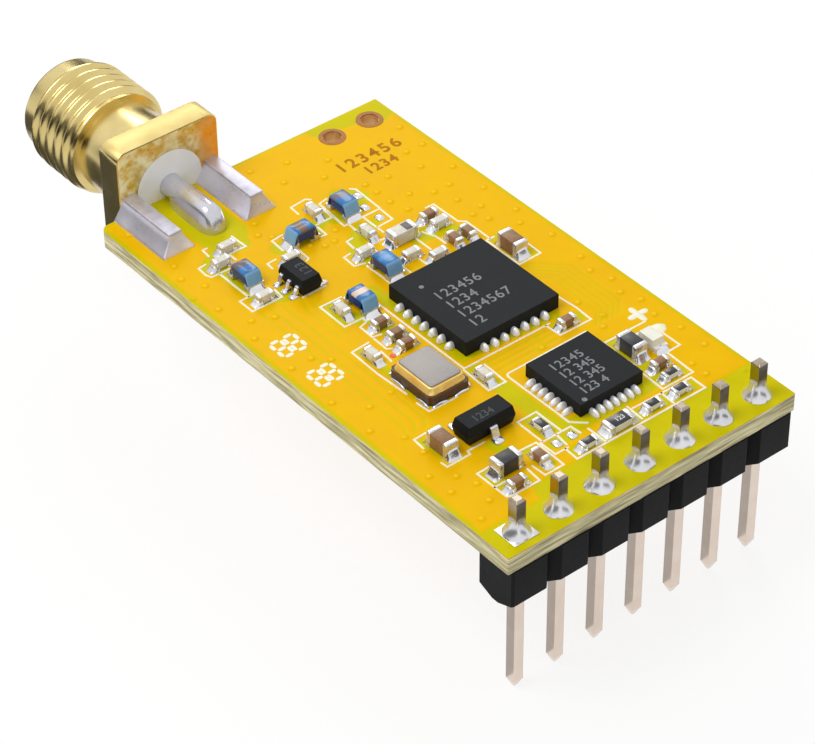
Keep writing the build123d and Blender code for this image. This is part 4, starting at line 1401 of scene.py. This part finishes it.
def add_camera():
    data = bpy.data.cameras.new("camera")
    data.sensor_width = 36.0
    data.lens = CAMERA_LENS
    data.clip_start = 0.005
    data.clip_end = 5.0
    camera = bpy.data.objects.new("camera", data)
    camera.location = Vector(CAMERA_PLACE) * MM
    turn = aimed(CAMERA_AIM).to_matrix().to_4x4()
    camera.rotation_euler = (turn @ Matrix.Rotation(math.radians(CAMERA_ROLL), 4, "Z")).to_euler()
    scene.collection.objects.link(camera)
    scene.camera = camera


add_camera()

# White floor and world. Both are brighter where they are seen, directly, in gloss or
# through glass, than in the light that they give.
FLOOR_LEVEL = -6.31
FLOOR_HALF = 1000
FLOOR_GLOW = 0.85
WORLD_LIGHT = 0.6
WHITE = (1, 1, 1, 1)
BLACK = (0, 0, 0, 1)


def seen_rays(shader):
    """One for camera, glossy and transmission rays, zero for those that only carry light."""
    path = shader.add("LightPath")
    seen = shader.maths("MAXIMUM", path["Is Camera Ray"], path["Is Glossy Ray"])
    return shader.maths("MAXIMUM", seen, path["Is Transmission Ray"])


def floor_finish():
    """White that glows where it is seen, so that the shadow on it stays faint."""
    shader = new_shader("floor_white")
    shader.set("Base Color", shader.mix(shader.noise(20), (250, 250, 250), (253, 253, 253)))
    shader.set("Roughness", 0.9)
    shader.set("Specular IOR Level", 0.0)
    share = shader.ranged(seen_rays(shader), 0.0, 1.0, 0.0, FLOOR_GLOW)
    glow = shader.add("Emission", {"Color": WHITE})[0]
    plain = shader.nodes["Principled BSDF"].outputs[0]
    blend = shader.add("MixShader", {0: share, 1: plain, 2: glow})[0]
    shader.join(blend, shader.nodes["Material Output"].inputs["Surface"])
    return shader.owner


def flat_sheet(name, width, height, material):
    """A flat rectangle about its own middle, part of the setting and not of the object."""
    w, h = width / 2 * MM, height / 2 * MM
    mesh = bpy.data.meshes.new(name)
    mesh.from_pydata([(-w, -h, 0), (w, -h, 0), (w, h, 0), (-w, h, 0)], [], [(0, 1, 2, 3)])
    mesh.materials.append(material)
    sheet = bpy.data.objects.new(name, mesh)
    scene.collection.objects.link(sheet)
    return sheet


def add_world():
    world = bpy.data.worlds.new("world")
    scene.world = world
    shader = Shader(world)
    background = shader.nodes["Background"].inputs
    background["Color"].default_value = WHITE
    shader.join(shader.ranged(seen_rays(shader), 0.0, 1.0, WORLD_LIGHT, 1.0), background["Strength"])


floor = flat_sheet("floor", 2 * FLOOR_HALF, 2 * FLOOR_HALF, floor_finish())
floor.location.z = FLOOR_LEVEL * MM
add_world()


# Lamps, and cards beside the object that only polished faces see
def area_lamp(name, place, target, size, power):
    data = bpy.data.lights.new(name, "AREA")
    data.size = size
    data.energy = power
    lamp = bpy.data.objects.new(name, data)
    lamp.location = Vector(place) * MM
    lamp.rotation_euler = aimed(Vector(target) - Vector(place)).to_euler()
    scene.collection.objects.link(lamp)


def card_finish(name, shade):
    """An even grey that gives its own light, so that no lamp changes it."""
    shader = new_shader(name)
    lighter = (shade + 6, shade + 6, shade + 4)
    shader.set("Base Color", BLACK)
    shader.set("Specular IOR Level", 0.0)
    shader.set("Emission Color", shader.mix(shader.noise(20), (shade, shade, shade), lighter))
    shader.set("Emission Strength", 1.0)
    return shader.owner


def grey_card(name, centre, facing, width, height, shade):
    card = flat_sheet(name, width, height, card_finish(name, shade))
    card.location = Vector(centre) * MM
    card.rotation_euler = aimed(facing, "Z").to_euler()
    card.visible_camera = False
    card.visible_diffuse = False
    card.visible_shadow = False


area_lamp("key", (-120, 60, 220), (0, 15, 0), 0.12, 0.268)
area_lamp("rim", (90, 160, 120), (0, 20, 3), 0.08, 0.1)

UP = (0, 0, 1)
grey_card("card_left", (-90, 20, 16), (1, 0, -0.1), 260, 44, 26)
grey_card("card_far", (30, 130, 12), (-0.2, -1, 0), 160, 40, 26)
grey_card("card_near", (40, -110, 10), (-0.2, 1, 0), 120, 26, 26)
grey_card("card_below_jack", (-22, 52, -6.2), UP, 30, 44, 85)
grey_card("card_below_pins", (4, -13, -6.2), UP, 40, 11, 110)
grey_card("card_below_board", (0, 5.5, -6.2), UP, 30, 10, 190)
grey_card("card_over_flange", (9.8, 50, 26.6), (-0.48, -0.6, -0.64), 13, 9, 205)
